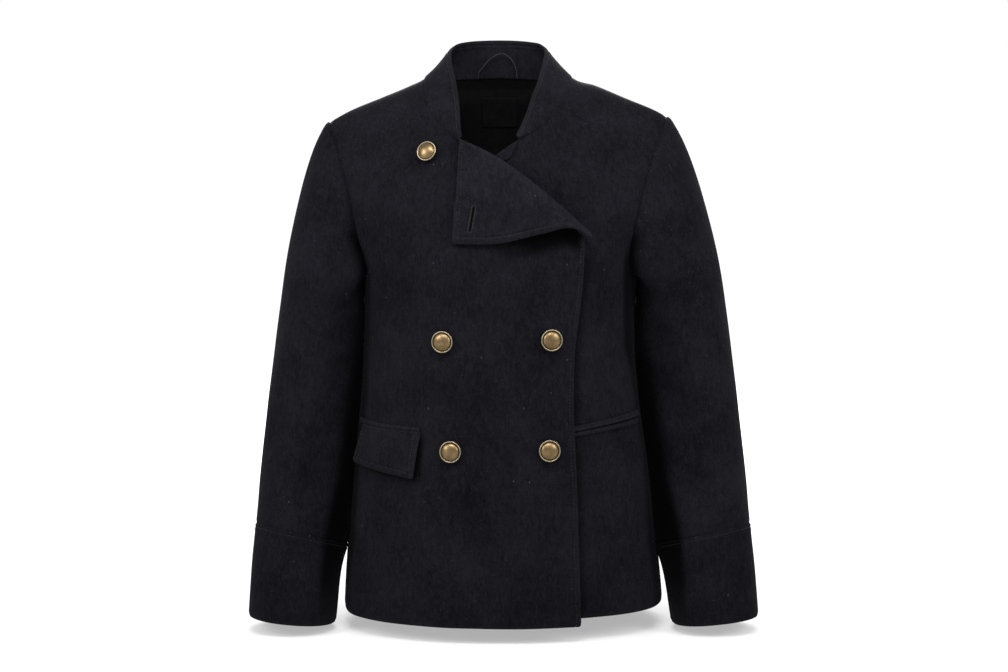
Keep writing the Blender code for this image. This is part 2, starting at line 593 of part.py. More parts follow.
def sleeve_rings(table, side, heights, angles):
    """Rings across the arm's line, drawn in to the body's side."""
    arm = SLEEVE + CUFF[1:]

    def centre(z):
        return np.stack([side * through(-column(arm, 0), column(arm, 1), -z),
                         through(-column(arm, 0), column(arm, 2), -z), z], -1)
    rings = []
    for z in heights:
        z = np.array(z)
        above, below = min(z + 0.004, arm[0][0]), max(z - 0.004, arm[-1][0])
        line = unit((centre(np.array(below)) - centre(np.array(above))) * (1, ARM_LEAN, 1))
        inward = unit(np.array([-side, 0.0, 0.0]) - line * (-side * line[0]))
        forward = unit(np.array([0.0, -1.0, 0.0]) + line * line[1])
        a, b = (float(through(-column(table, 0), column(table, k), -z)) for k in (3, 4))
        cos, sin = np.cos(angles), np.sin(angles)
        p = 2 / SLEEVE_ROUND
        more = float(through(-column(ARM_REACH[side], 0), column(ARM_REACH[side], 1), -z))
        across = a * np.sign(cos) * np.abs(cos) ** p + more * np.clip(cos, 0, 1) ** 1.5
        slant = CUFF_SLANT * math.exp(-((z - CUFF[0][0]) / SLANT_REACH) ** 2)
        rings.append(centre(z) + np.outer(across, inward + slant * line)
                     + np.outer(b * np.sign(sin) * np.abs(sin) ** p, forward))
    return beside_body(np.array(rings), side, ARM_CLEAR)


def ring_normals(grid):
    wrap = np.concatenate([grid[:, -1:], grid, grid[:, :1]], 1)
    normal = unit(np.cross(wrap[:, 2:] - wrap[:, :-2], np.gradient(grid, axis=0)))
    centre = grid.mean(1, keepdims=True)
    return normal * np.sign(np.sum(normal * (grid - centre)))


def loop_angles(side):
    points = arm_loop(side)[0]
    steps = np.linalg.norm(np.roll(points, -1, 0) - points, axis=1)
    share = np.r_[0, np.cumsum(steps)[:-1]]
    half = share[ROWS_ARM]
    return np.where(np.arange(len(points)) <= ROWS_ARM, math.pi * share / half,
                    math.pi + math.pi * (share - half) / (steps.sum() - half))


def sleeve(side):
    points, shared, start, tangent = arm_loop(side)
    angles = loop_angles(side)
    top, bottom = SLEEVE[0][0], SLEEVE[-1][0]
    rings = sleeve_rings(SLEEVE, side, np.linspace(top, bottom, ROWS_SLEEVE + 1), angles)
    reach = np.linalg.norm(rings[0] - points, axis=1, keepdims=True)
    leave = start * np.minimum(CAP_LEAVE, 0.9 * reach)
    arrive = unit(rings[1] - rings[0]) * reach * CAP_ARRIVE
    cap = []
    for t in np.linspace(0, 1, ROWS_SLEEVE_CAP + 1)[:-1]:
        row = ((1 + 2 * t) * (1 - t) ** 2 * points + t * (1 - t) ** 2 * leave
               + t * t * (3 - 2 * t) * rings[0] + t * t * (t - 1) * arrive)
        row[:, 0] += side * CAP_FULL * 16 * (t * (1 - t)) ** 2 * np.clip(-np.cos(angles), 0, 1)
        cap.append(row)
    outer = np.concatenate([np.array(cap), rings])
    normals = ring_normals(outer)
    normals[0] = shared
    away = np.cross(unit(shared), tangent)
    away *= np.sign(np.sum(away * start, -1, keepdims=True))
    outer[0] += unit(away) * SEAM
    wall("sleeve_right" if side < 0 else "sleeve_left", outer, outer - normals * WALL, WOOL, ring=True)


def cuff(side):
    angles = loop_angles(side)
    top, bottom = CUFF[0][0], CUFF[-1][0]
    outer = sleeve_rings(CUFF, side, np.linspace(top, bottom, ROWS_CUFF + 1), angles)
    normals = ring_normals(outer)
    line = unit(outer.mean(1)[1] - outer.mean(1)[0])
    outer[0] += line * SEAM
    wall("cuff_right" if side < 0 else "cuff_left", outer, outer - normals * EDGE_WALL, WOOL, ring=True)


# ---------------------------------------------------------------- pockets, buttons, trims
def sheet(name, grid, thickness, look, outward=True):
    """An open surface made solid on one side: outward from the body, or into it."""
    rows, cols = grid.shape[:2]
    faces = [(i * cols + j, i * cols + j + 1, (i + 1) * cols + j + 1, (i + 1) * cols + j)
             for i in range(rows - 1) for j in range(cols - 1)]
    obj = solid(name, grid.reshape(-1, 3), faces, look)
    walled = obj.modifiers.new("walled", "SOLIDIFY")
    walled.thickness = thickness
    walled.offset = -1.0 if outward else 1.0
    walled.use_even_offset = False
    return obj


def patch(name, corners, gap_top, gap_bottom, thickness, cols, rows):
    """A piece lying on the front."""
    ul, ur, lr, ll = (np.array(c) for c in corners)
    u, v = np.linspace(0, 1, cols + 1)[None, :, None], np.linspace(0, 1, rows + 1)[:, None, None]
    grid = (ul * (1 - u) + ur * u) * (1 - v) + (ll * (1 - u) + lr * u) * v
    turn = turn_at(grid[..., 0], grid[..., 1])
    lay, out = body(turn, grid[..., 1]), body_normal(turn, grid[..., 1])
    sheet(name, lay + out * (gap_top + (gap_bottom - gap_top) * v), thickness, WOOL)


def button(name, x, z, size):
    """A domed shank button: a turned profile, its axis square to the cloth."""
    turn = turn_at(np.array(x), np.array(z))
    base, out = body(turn, z), body_normal(turn, np.array(z))
    verts = [(radius * size, 0.0, height * (size if height > SHANK_FOOT else 1.0)) for radius, height in DOME]
    obj = solid(name, verts, [], BRASS, [(k, k + 1) for k in range(len(verts) - 1)])
    turned = obj.modifiers.new("turned", "SCREW")
    turned.axis = "Z"
    turned.steps = turned.render_steps = BUTTON_SIDES
    turned.use_merge_vertices = True
    turned.merge_threshold = 0.00005
    obj.location = base
    obj.rotation_euler = Vector(out).to_track_quat("Z", "Y").to_euler()
    return obj


def cord(name, path, radius, material):
    """A round cord along a path, its ends closed."""
    curve = bpy.data.curves.new(name, "CURVE")
    curve.dimensions = "3D"
    curve.bevel_depth = radius
    curve.bevel_resolution = 1
    curve.use_fill_caps = True
    spline = curve.splines.new("POLY")
    spline.points.add(len(path) - 1)
    for point, place in zip(spline.points, path):
        point.co = (*place, 1.0)
    obj = bpy.data.objects.new(name, curve)
    COAT.objects.link(obj)
    curve.materials.append(finish(name, material))
    return obj


def back_patch(name, turns, heights, depth, thickness, cols, rows):
    """A piece on the inside of the back between two turns and two heights."""
    turn = np.linspace(*turns, cols + 1)[None, :] + np.zeros((rows + 1, 1))
    high = np.minimum(heights[0], ridge(body(turn[0], heights[0])[:, 0]) - BELOW_RIDGE)
    v = np.linspace(0, 1, rows + 1)[:, None]
    z = high[None, :] * (1 - v) + heights[1] * v
    sheet(name, body(turn, z) - body_normal(turn, z) * depth, thickness, LINING, outward=False)


def outward(obj):
    """Turns the faces outward if the solid's volume came out negative."""
    mesh = obj.data
    volume = 0.0
    for face in mesh.polygons:
        p = [mesh.vertices[i].co for i in face.vertices]
        for k in range(1, len(p) - 1):
            volume += p[0].dot(p[k].cross(p[k + 1]))
    if volume < 0:
        mesh.flip_normals()


front_panel(-1)
front_panel(1)
back_panel()
lapel()
collar()
for SIDE in (-1, 1):
    sleeve(SIDE)
    cuff(SIDE)
for ROW in POCKETS:
    patch(*ROW)
for ROW in BUTTONS:
    button(*ROW)
for ROW in TRIMS:
    back_patch(*ROW)
cord("hanging_loop", along(LOOP, LOOP_STEPS), LOOP_RADIUS, LINING)
for OBJ in COAT.objects:
    if OBJ.type == "MESH" and not OBJ.modifiers:
        outward(OBJ)
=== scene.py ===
"""Looks of the double-breasted short overcoat, built on the frame of its solids.

Metres. X to the viewer's right, the front faces -Y, Z up. A place on the body is (turn, height): turn 0 is the
centre front, 1 the viewer's right side, 2 the centre back and -1 (or 3) the viewer's left side. Side -1 is the
wearer's right.
"""

import math

import bmesh
import bpy
import numpy as np
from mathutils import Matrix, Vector
from mathutils.bvhtree import BVHTree


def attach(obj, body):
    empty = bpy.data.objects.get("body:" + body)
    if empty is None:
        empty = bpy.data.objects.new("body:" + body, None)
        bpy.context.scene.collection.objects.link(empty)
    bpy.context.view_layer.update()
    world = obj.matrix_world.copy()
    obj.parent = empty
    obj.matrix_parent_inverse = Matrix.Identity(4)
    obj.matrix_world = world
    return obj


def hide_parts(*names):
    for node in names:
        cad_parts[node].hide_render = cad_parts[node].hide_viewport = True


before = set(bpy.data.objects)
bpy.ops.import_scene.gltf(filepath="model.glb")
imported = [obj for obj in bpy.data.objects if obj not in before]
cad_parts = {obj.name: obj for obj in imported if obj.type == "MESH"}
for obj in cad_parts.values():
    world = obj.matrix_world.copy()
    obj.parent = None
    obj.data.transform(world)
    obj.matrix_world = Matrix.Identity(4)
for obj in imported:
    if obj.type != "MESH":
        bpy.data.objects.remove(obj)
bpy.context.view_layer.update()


def mm(*rows):
    """A table in metres from rows in millimetres."""
    return np.array(rows, float) * 0.001


# ---------------------------------------------------------------- sizes of the garment
WALL = 0.0028          # wool with its lining
EDGE_WALL = 0.0042     # two layers of wool: fronts near the edge, lapel, collar, cuffs
SEAM = 0.0003          # left open between pieces at a seam
UNDERLAP = 0.0056      # how far the under-front lies inside the over-front
CHEST = -0.235         # height under the arms, where the body starts to close over the shoulders
FRONT_ROUND, BACK_ROUND = (2.6, 0.62), (3.0, 0.60)
SQUARENESS = 2.35      # 2 would be an ellipse

# Rings of the body: height, half width to the viewer's left and right, depth to the front, depth to the back
RINGS = mm(
    (-640, 185, 185.5, 133, 116), (-600, 183.5, 184, 132, 115), (-520, 178.5, 177, 129, 110),
    (-446, 171.5, 168, 126, 104), (-370, 164, 156.5, 122.5, 98.5), (-300, 159.5, 151, 122, 99),
    (-235, 160.5, 154.5, 120, 103), (-150, 187, 187, 115, 107), (-60, 214, 214, 108, 99), (60, 222, 222, 105, 90))
# Ridge of the shoulders: across, height
SHOULDER_LINE = mm(
    (-222, -66), (-199, -54.5), (-175, -41.5), (-140, -27), (-105, -12.5), (-90.5, -5.5), (-67, 20), (-35, 40),
    (-5, 46), (28, 40), (57, 20), (79.5, -4), (105, -12.5), (140, -27), (175, -41.5), (199, -54.5), (222, -66))
NECK_POINT = {-1: -0.0905, 1: 0.0795}      # where collar, front and back meet, across
SHOULDER_TIP = {-1: -0.1970, 1: 0.1860}

# Armholes above the armpit: height, across on the wearer's right front, left front and the back
ARMHOLE = mm((-215, 150, 142.5, 152), (-190, 159, 142.5, 157), (-150, 169.5, 150.5, 163), (-105, 180.5, 162.5, 172),
             (-78, 188.5, 171.5, 181))
ARMPIT = -0.256
# Lower curve of the armholes: turn from the middle, height
ARMHOLE_FOOT = ((1.0, ARMPIT), (0.945, -0.2535), (0.885, -0.2440), (0.835, -0.2300))

# Necklines from the shoulder down, and round the back: across, height
NECKLINE = {
    -1: mm((-90.5, -5.5), (-87.5, -26), (-79, -45), (-66.5, -60), (-49, -75.5)),
    1: mm((79.5, -4), (73.5, -20), (66, -34), (54, -48), (40, -60), (19, -71.5)),
}
NECKLINE_BACK = mm((62, -6.4), (36, -5.6), (-5, -4.2), (-46, -5.6), (-73, -6.6))

# Fold lines of the lapels: across, height. Front edges below them: height, across
FOLD = mm((-48, -71.5), (-14.2, -87), (40, -124.5), (94, -173))
UNDER_FOLD = mm((19, -71.5), (-6, -88), (-45, -126), (-84, -176))
FRONT_EDGE = mm((-611, 87), (-550, 85), (-447.8, 81.6), (-386.9, 78.5), (-293.8, 80.2), (-230, 90.3), (-182, 99.2))
UNDER_EDGE = mm((-600, -85), (-447.8, -80), (-293.8, -79), (-182, -86))
HEM = {-1: -0.6110, 1: -0.6030}

# Lapel, folded out: inner radius of the curl and gap under the free edge, at the collar and at the tip
LAPEL_CURL, LAPEL_STAND = (0.0016, 0.0046), (0.0016, 0.0150)
# Free edge of the lapel from its corner to the rolled tip, at shares of its length: across, height
LAPEL_SHARES = (0.0, 0.35, 0.65, 0.88, 1.0)
LAPEL_EDGE = mm((-54.5, -185), (-3.5, -184), (40, -174.5), (74.5, -169), (91, -177.5))
LAPEL_HOLE = mm((-31.8, -145.7), (-36.2, -170.7))     # buttonhole: across, height of both ends
LAPEL_CREASES = mm((22, 30, 50, 52, 4.5, 0.7), (52, 20, 75, 46, 5, 0.6), (90, 18, 150, 46, 8, 0.9))

# Free edge of the collar in even steps from the wearer's right: across, out, up
COLLAR_EDGE = mm(
    (-47, -88.5, -67.2), (-48, -79, -56), (-49, -66, -40), (-50.8, -46, -25.5), (-54.5, -30, -6), (-60, -8, 12.5),
    (-61.2, 18, 25.8), (-54.5, 38.5, 32.8), (-39.5, 50.5, 35.8), (-22, 57.2, 36.9), (-5, 59, 37.2), (12, 57.2, 37),
    (29, 50.5, 36), (44, 38.5, 33.5), (49.5, 18, 26.2), (46.5, -7, 13.5), (39.8, -34, -8), (33, -53, -24),
    (27.5, -68, -39.5), (22, -81, -53.5), (16.5, -91, -66.8))

# Sleeves and cuffs: height, centre across, centre out, half width, half depth
SLEEVE = mm((-262, 208.5, 1, 46.2, 66), (-309, 212.8, 0, 49.2, 64.5), (-364.5, 218, -2, 51.5, 62),
            (-420, 223.8, -6.5, 51.5, 59), (-475, 229.2, -15.5, 51.8, 56), (-524, 233.1, -26.9, 51.2, 54))
CUFF = mm((-524, 233.1, -26.9, 51.6, 54.4), (-560, 236.2, -35.5, 51.4, 54), (-619, 241.5, -48, 50, 52.5))
ARM = np.vstack([SLEEVE, CUFF[1:]])
# How far the inner side of an arm is drawn in towards the body, which then stops it: height, reach
ARM_REACH = {
    -1: mm((-262, 9), (-309, 10), (-364.5, 9.2), (-420, 9.2), (-475, 8.5), (-522, 5), (-545, 1), (-619, 0)),
    1: mm((-262, 16), (-309, 19), (-364.5, 17), (-420, 14.5), (-475, 12), (-522, 8.5), (-545, 4), (-619, 0)),
}
ARM_CLEAR = -0.0006       # an arm's cloth is pressed this far against the body's side
# How hollow the inner front of an arm is: height, share
ARM_HOLLOW = np.array(((-0.24, 0.0), (-0.262, 0.35), (-0.30, 0.62), (-0.34, 0.78), (-0.40, 0.80), (-0.50, 0.55),
                       (-0.56, 0.25), (-0.62, 0.0)))
CAP_FULL = 0.0048         # how far a sleeve's cap swells outward halfway down
ARM_LEAN = (0.72, 0.40)   # share of the arm's forward lean that its rings follow, at the seam of the cuff and its hem
CUFF_SLANT, SLANT_REACH = 0.14, 0.045     # extra slant of the cuff's seam towards the body, and how far it fades

# Painted shade in the cleft between an arm and the body, where no light gets in. On the arm: height, how far round it
# reaches (as a cosine), depth
ARM_PAINTED_SHADE = np.array(((-0.190, 0.86, 0.0), (-0.235, 0.86, 1.0), (-0.300, 0.82, 1.0), (-0.360, 0.76, 1.0),
                     (-0.460, 0.72, 1.0), (-0.520, 0.60, 1.0), (-0.570, 0.55, 0.9), (-0.620, 0.60, 0.2)))
# On the fronts, where that painted shade begins: height, across
BODY_PAINTED_SHADE = {
    -1: mm((-185, -159.9), (-202, -154.3), (-219, -149.9), (-253, -149.9), (-287, -152.1), (-355, -154.3),
           (-389, -157.7), (-423, -164), (-457, -165), (-526, -170), (-600, -180)),
    1: mm((-185, 141), (-202, 136.5), (-236, 135.4), (-270, 136.5), (-304, 137.6), (-338, 146.6), (-389, 153.3),
          (-423, 158.9), (-457, 162.2), (-526, 165.5), (-561, 171.1), (-600, 178)),
}
# Strengths of painted shadows: under the lapel's free edge, beside the pocket flap, and on the under-front beside the
# over-front's edge
LAPEL_PAINTED_SHADOW, FLAP_PAINTED_SHADOW, EDGE_PAINTED_SHADOW = 0.90, 0.75, 0.50

# Pocket pieces: name, corners (across, height) round from the upper left, columns, rows, gap at the top and at the
# bottom, thickness, free sides, whether on the under-front
FLAP = mm((-157, -395), (-91.9, -395.8), (-97.5, -445.5), (-164, -437))
POCKETS = (
    ("pocket_flap", FLAP, 44, 34, 0.0005, 0.0050, 0.0036, ("right", "left", "top"), False),
    ("jet_right", mm((-160, -389), (-93, -390.5), (-93, -394.3), (-160, -393)), 40, 8, 0.0005, 0.0005, 0.0030,
     ("top", "bottom"), False),
    ("jet_left_upper", mm((80, -389.5), (149.5, -379.6), (149.5, -383.9), (80, -393.2)), 40, 8, 0.0003, 0.0022, 0.0028,
     ("top",), True),
    ("jet_left_lower", mm((80, -395.3), (149.5, -387.3), (149.5, -392), (80, -399.3)), 40, 8, 0.0005, 0.0005, 0.0026,
     ("top", "bottom"), True),
)
FLAP_STITCH, FLAP_BOW, FLAP_LEAN = 0.0058, 0.0012, 0.0030
POCKET_MOUTH = mm((80, -394.2), (149.5, -385.6))      # the left pocket's, between its jets: across, height
LOOP = mm((-28.7, 51.2, -6), (-28.1, 51, 0.8), (-22.9, 50.8, 7.4), (-13.1, 50.8, 18), (-0.5, 50.8, 22.6),
          (8.1, 50.8, 18), (15.3, 51, 4), (16.6, 51.2, -6))

# Button profile from the top of the dome to the foot of the shank: radius, height above the cloth
DOME_RADIUS, DOME_TOP, DOME_FOOT = 0.0098, 0.0100, 0.0062
RIM_RADIUS, RIM_BEAD, RIM_MIDDLE = 0.0112, 0.00095, 0.0060
SHANK, SHANK_FOOT = 0.0026, 0.0006
# Buttons: name, across, height, share of the full size
BUTTONS = (
    ("button_top", -0.0823, -0.0870, 0.93), ("button_mid_right", -0.0655, -0.2931, 1.0),
    ("button_mid_left", 0.0525, -0.2909, 1.0), ("button_low_right", -0.0571, -0.4146, 1.0),
    ("button_low_left", 0.0506, -0.4134, 1.0),
)

# ---------------------------------------------------------------- sizes of the looks
ROWS_SIDE, ROWS_ARM = 66, 48
COLS_SHOULDER, COLS_NECK, COLS_BACK_NECK, COLS_UNDER = 24, 20, 40, 34
COLS_FOLD, COLS_FOLD_FINE = 32, 12          # even columns, and those close to the front edge
ROWS_CAP, ROWS_SLEEVE, ROWS_CUFF = 24, 70, 30
EDGE_STEPS = 6                              # faces round the thickness at an edge
SEAM_DIP, SEAM_REACH = 0.0010, 0.0018       # how the cloth rolls down into a seam
STITCH, STITCH_GAP, THREAD = 0.0030, 0.0007, 0.00034
LINED_FROM = 0.036                          # lining starts this far above a hem
RNG = np.random.default_rng(11)

TURN_LENGTH, SLEEVE_TURN = 0.232, 0.165     # metres round the body in one turn, round a sleeve in a half turn
CREASE_UNITS = (1, 0.001, 1, 0.001, 0.001, 0.001)
# Soft creases of the body: turn and height of both ends, half width and height of the ridge, in turns and millimetres
BODY_CREASES = np.array((
    (-0.84, -262, -0.52, -330, 13, 1.6), (-0.88, -300, -0.60, -392, 16, 1.3), (-0.47, -205, -0.40, -345, 17, 1.2),
    (-0.30, -430, -0.27, -640, 26, 1.8), (-0.66, -470, -0.72, -640, 24, 2.2), (0.02, -440, 0.05, -640, 30, 1.4),
    (0.82, -264, 0.50, -340, 14, 1.7), (0.88, -310, 0.58, -378, 15, 1.2), (0.62, -440, 0.69, -640, 22, 2.0),
    (0.28, -130, 0.45, -235, 18, 1.0), (1.16, -268, 1.46, -345, 14, 1.8), (1.12, -322, 1.44, -405, 17, 1.4),
    (1.34, -430, 1.27, -640, 25, 2.4), (1.72, -300, 1.66, -640, 30, 2.1), (1.60, -120, 1.74, -260, 24, 1.2),
    (2.10, -340, 2.15, -640, 28, 1.8), (2.36, -115, 2.22, -250, 22, 1.3), (2.60, -380, 2.68, -640, 24, 2.3),
    (2.87, -270, 2.55, -352, 15, 1.8), (2.90, -330, 2.60, -398, 15, 1.3))) * CREASE_UNITS
# The same on the sleeves, in half turns: 0 is inside, 0.5 front, 1 outside, 1.5 back
SLEEVE_CREASES = {
    -1: np.array((
        (0.10, -268, 0.52, -312, 9, 1.4), (0.06, -300, 0.44, -352, 10, 1.1), (0.12, -392, 0.62, -405, 10, 1.5),
        (0.20, -425, 0.74, -446, 11, 1.2), (0.66, -330, 0.82, -470, 16, 1.0), (1.70, -275, 1.32, -330, 11, 1.6),
        (1.82, -372, 1.36, -396, 12, 1.4), (1.12, -360, 1.20, -500, 18, 1.2))) * CREASE_UNITS,
    1: np.array((
        (0.12, -272, 0.50, -322, 10, 1.3), (0.08, -318, 0.38, -362, 9, 1.2), (0.16, -402, 0.58, -418, 11, 1.4),
        (0.26, -440, 0.80, -455, 10, 1.0), (0.60, -350, 0.78, -480, 17, 1.1), (1.72, -282, 1.36, -342, 12, 1.5),
        (1.80, -384, 1.40, -402, 11, 1.5), (1.08, -350, 1.16, -490, 17, 1.1))) * CREASE_UNITS,
}
SLEEVE_SEAMS = (0.06, 1.32)                 # half turns: the seam inside and the one behind the elbow


# ---------------------------------------------------------------- curves
def through(xs, ys, at):
    """A smooth curve through (xs, ys), xs rising, read at `at`."""
    xs, ys = np.asarray(xs, float), np.asarray(ys, float)
    at = np.clip(np.asarray(at, float), xs[0], xs[-1])
    slope = np.gradient(ys, xs)
    i = np.clip(np.searchsorted(xs, at, side="right") - 1, 0, len(xs) - 2)
    h = xs[i + 1] - xs[i]
    t = (at - xs[i]) / h
    return ((1 + 2 * t) * (1 - t) ** 2 * ys[i] + t * (1 - t) ** 2 * h * slope[i]
            + t * t * (3 - 2 * t) * ys[i + 1] + t * t * (t - 1) * h * slope[i + 1])


def read(table, at, k=1, curve=through):
    """Column k of a table at a value of its first column, which rises or falls."""
    table = table[::-1] if table[0, 0] > table[-1, 0] else table
    return curve(table[:, 0], table[:, k], at)


def straight(xs, ys, at):
    return np.interp(at, xs, ys)


def even(count):
    return np.linspace(0, 1, count + 1)


def graded(rest, fine, share):
    """Steps from 0 to 1, `fine` of them in the last share."""
    return np.r_[np.linspace(0, 1 - share, rest + 1), np.linspace(1 - share, 1, fine + 1)[1:]]


def run_of(points):
    """Length of a line from its start to each of its points."""
    return np.r_[0, np.cumsum(np.linalg.norm(np.diff(points, axis=0), axis=1))]


def at_lengths(run, points, want):
    return np.stack([np.interp(want, run, points[:, k]) for k in range(points.shape[1])], 1)


def along(points, steps, place=None):
    """Places along a smooth path at shares of its length; place turns them into space."""
    points = np.asarray(points, float)
    marks = run_of(points)
    fine = np.linspace(0, marks[-1], 600)
    path = np.stack([through(marks, points[:, k], fine) for k in range(points.shape[1])], 1)
    length = run_of(path if place is None else place(path[:, 0], path[:, 1]))
    return at_lengths(length, path, length[-1] * steps)


def ease(x, low, high):
    t = np.clip((np.asarray(x, float) - low) / (high - low), 0, 1)
    return t * t * (3 - 2 * t)


def unit(v):
    return v / np.maximum(np.linalg.norm(v, axis=-1, keepdims=True), 1e-12)


def hump(x, width):
    return np.exp(-(x / width) ** 2)


def smooth(rows, times, ring=False):
    rows = rows.copy()
    for _ in range(times):
        if ring:
            rows = 0.25 * np.roll(rows, 1, 0) + 0.5 * rows + 0.25 * np.roll(rows, -1, 0)
        else:
            rows[1:-1] = 0.25 * rows[:-2] + 0.5 * rows[1:-1] + 0.25 * rows[2:]
    return rows


# ---------------------------------------------------------------- the body's form
ARC = np.linspace(0, math.pi / 2, 4000)
ARC_X, ARC_Y = np.sin(ARC) ** (2 / SQUARENESS), np.cos(ARC) ** (2 / SQUARENESS)
ARC_S = np.r_[0, np.cumsum(np.hypot(np.diff(ARC_X) * 1.3, np.diff(ARC_Y)))]
ARC_S = ARC_S / ARC_S[-1]


def ridge(x):
    return read(SHOULDER_LINE, x)


def half_width(z, side):
    return np.where(side < 0, read(RINGS, z), read(RINGS, z, 2))


def body(turn, z):
    """The outer face of the body at a turn and a height."""
    turn, z = np.broadcast_arrays(np.asarray(turn, float), np.asarray(z, float))
    r = (turn + 2) % 4 - 2
    side, a = np.sign(r), np.abs(r)
    back = a > 1
    u = np.where(back, 2 - a, a)
    x = side * half_width(z, side) * np.interp(u, ARC_S, ARC_X)
    closing = np.clip((z - CHEST) / (ridge(x) - CHEST), 0, 1)
    front = -read(RINGS, z, 3) * (1 - closing ** FRONT_ROUND[0]) ** FRONT_ROUND[1]
    behind = read(RINGS, z, 4) * (1 - closing ** BACK_ROUND[0]) ** BACK_ROUND[1]
    y = np.where(back, behind, front) * np.interp(u, ARC_S, ARC_Y)
    return np.stack([x, y, z], -1)


def body_normal(turn, z):
    turn, z = np.asarray(turn, float), np.asarray(z, float)
    across = body(turn + 1e-3, z) - body(turn - 1e-3, z)
    return unit(np.cross(across, body(turn, z) - body(turn, z - 1e-3)))


def body_at(places):
    return body(places[:, 0], places[:, 1]), body_normal(places[:, 0], places[:, 1])


def ridge_normal(x):
    rise = (ridge(x + 1e-4) - ridge(x - 1e-4)) / 2e-4
    return unit(np.stack([-rise, np.zeros_like(rise), np.ones_like(rise)], -1))


def turn_at(x, z):
    """The turn on the front at a place across; the back's is 2 minus it."""
    return np.sign(x) * np.interp(np.abs(x) / half_width(z, np.sign(x)), ARC_X, ARC_S)


def on_front(points):
    points = np.asarray(points, float)
    return np.stack([turn_at(points[:, 0], points[:, 1]), points[:, 1]], 1)


def creases(along_x, along_z, rows, scale):
    """Ridges with a shallow hollow beside them, between the ends that the rows give."""
    total = np.zeros(np.broadcast(along_x, along_z).shape)
    for s0, z0, s1, z1, width, height in rows:
        ax, dx, dz = s0 * scale, (s1 - s0) * scale, z1 - z0
        length = math.hypot(dx, dz)
        px, pz = along_x - ax, along_z - z0
        t = (px * dx + pz * dz) / length ** 2
        off = (px * dz - pz * dx) / length + 0.1 * length * np.sin(math.pi * np.clip(t, 0, 1)) * np.sign(dx)
        to_hem = abs(z1) > 0.63
        fade = ease(t, -0.05, 0.60) if to_hem else ease(t, -0.05, 0.35) * (1 - ease(t, 0.55, 1.08))
        total += height * fade * (hump(off, width) - 0.55 * hump(off - 1.7 * width, 1.2 * width))
    return total


def away_from(points, line, near, far):
    """0 close to a line of points, 1 far from it."""
    flat = points.reshape(-1, 3)
    nearest = np.full(len(flat), 9.0)
    for k in range(0, len(line), 60):
        gap = np.linalg.norm(flat[:, None, :] - line[None, k:k + 60], axis=2).min(1)
        nearest = np.minimum(nearest, gap)
    return ease(nearest, near, far).reshape(points.shape[:-1])


# ---------------------------------------------------------------- seams as (turn, height)
def armhole(side, back):
    """From the armpit to the shoulder tip on one side."""
    tip = SHOULDER_TIP[side]
    z = np.r_[ARMHOLE[:, 0], float(ridge(np.array(tip)))]
    x = np.r_[ARMHOLE[:, 3 if back else (1 if side < 0 else 2)], abs(tip)]
    rows = np.vstack([ARMHOLE_FOOT, np.stack([turn_at(x, z), z], 1)])
    if back:
        rows[:, 0] = 2 - rows[:, 0]
    rows[:, 0] *= side
    return along(rows, even(ROWS_ARM), body)


def side_seam(side, low):
    z = low + (ARMPIT - low) * even(ROWS_SIDE)
    return np.stack([np.full(len(z), float(side)), z], 1)


def shoulder(side, back):
    """From the tip to the neck along the ridge."""
    x = np.linspace(SHOULDER_TIP[side], NECK_POINT[side], COLS_SHOULDER + 1)
    z = ridge(x)
    t = turn_at(x, z)
    return np.stack([side * 2 - t if back else t, z], 1)


def front_neckline(side):
    return along(on_front(NECKLINE[side]), even(COLS_NECK), body)


def back_neckline():
    """From the viewer's right to the viewer's left round the back of the neck."""
    x = np.r_[NECK_POINT[1], NECKLINE_BACK[:, 0], NECK_POINT[-1]]
    drop = np.r_[ridge(NECK_POINT[1]), NECKLINE_BACK[:, 1], ridge(NECK_POINT[-1])]
    return along(np.stack([2 - turn_at(x, drop), drop], 1), even(COLS_BACK_NECK), body)


def fill(bottom, top, left, right, u, hold=4.0):
    """Rows of (turn, height) between four edges; bottom and top run with turn, left and right go up.

    Between the edges the rows are spread evenly, also where an edge bends under the arm.
    """
    rise = [((e[:, 1] - e[0, 1]) / (e[-1, 1] - e[0, 1]))[:, None, None] for e in (left, right)]
    calm = smooth((rise[0] + rise[1])[:, 0, 0] / 2, 500)[:, None, None]
    u = u[None, :, None]
    v = calm + (rise[0] - calm) * (1 - u) ** hold + (rise[1] - calm) * u ** hold
    between = (1 - v) * bottom[None] + v * top[None]
    bend_left = left[:, None, :] - ((1 - rise[0]) * bottom[0] + rise[0] * top[0])
    bend_right = right[:, None, :] - ((1 - rise[1]) * bottom[-1] + rise[1] * top[-1])
    keep = np.array([hold, 1.0])
    return between + bend_left * (1 - u) ** keep + bend_right * u ** keep


# ---------------------------------------------------------------- seams in space
def mitre(edge_normal, next_normal):
    shared = unit(edge_normal + next_normal)
    return shared / np.maximum(np.sum(shared * edge_normal, -1, keepdims=True), 0.72)


def facing(vectors, wanted):
    """The vectors, each turned to the side of the one wanted."""
    return vectors * np.sign(np.sum(vectors * wanted, -1, keepdims=True))


def slope(rows):
    return unit(np.gradient(rows, axis=0))


def arm_loop(side):
    """Armhole from the armpit up the front, over the tip and down the back: points, mitres, starts, tangents."""
    places = np.vstack([armhole(side, False), armhole(side, True)[-2:0:-1]])
    points, normals = body_at(places)
    normals[ROWS_ARM] = ridge_normal(np.array([points[ROWS_ARM, 0]]))[0]
    normals[0] = (side, 0.0, 0.0)
    normals = unit(smooth(normals, 6, ring=True))
    radial = unit((points - points.mean(0)) * (0.3, 1.0, 1.0))
    start = unit(np.array([side * 0.95, 0.0, -0.22]) + 0.42 * radial)
    ring = np.vstack([points[-1:], points, points[:1]])
    tangent = unit(smooth(unit(ring[2:] - ring[:-2]), 6, ring=True))
    cloth = facing(unit(np.cross(tangent, start)), radial)
    return points, smooth(mitre(normals, cloth), 30, ring=True), start, tangent


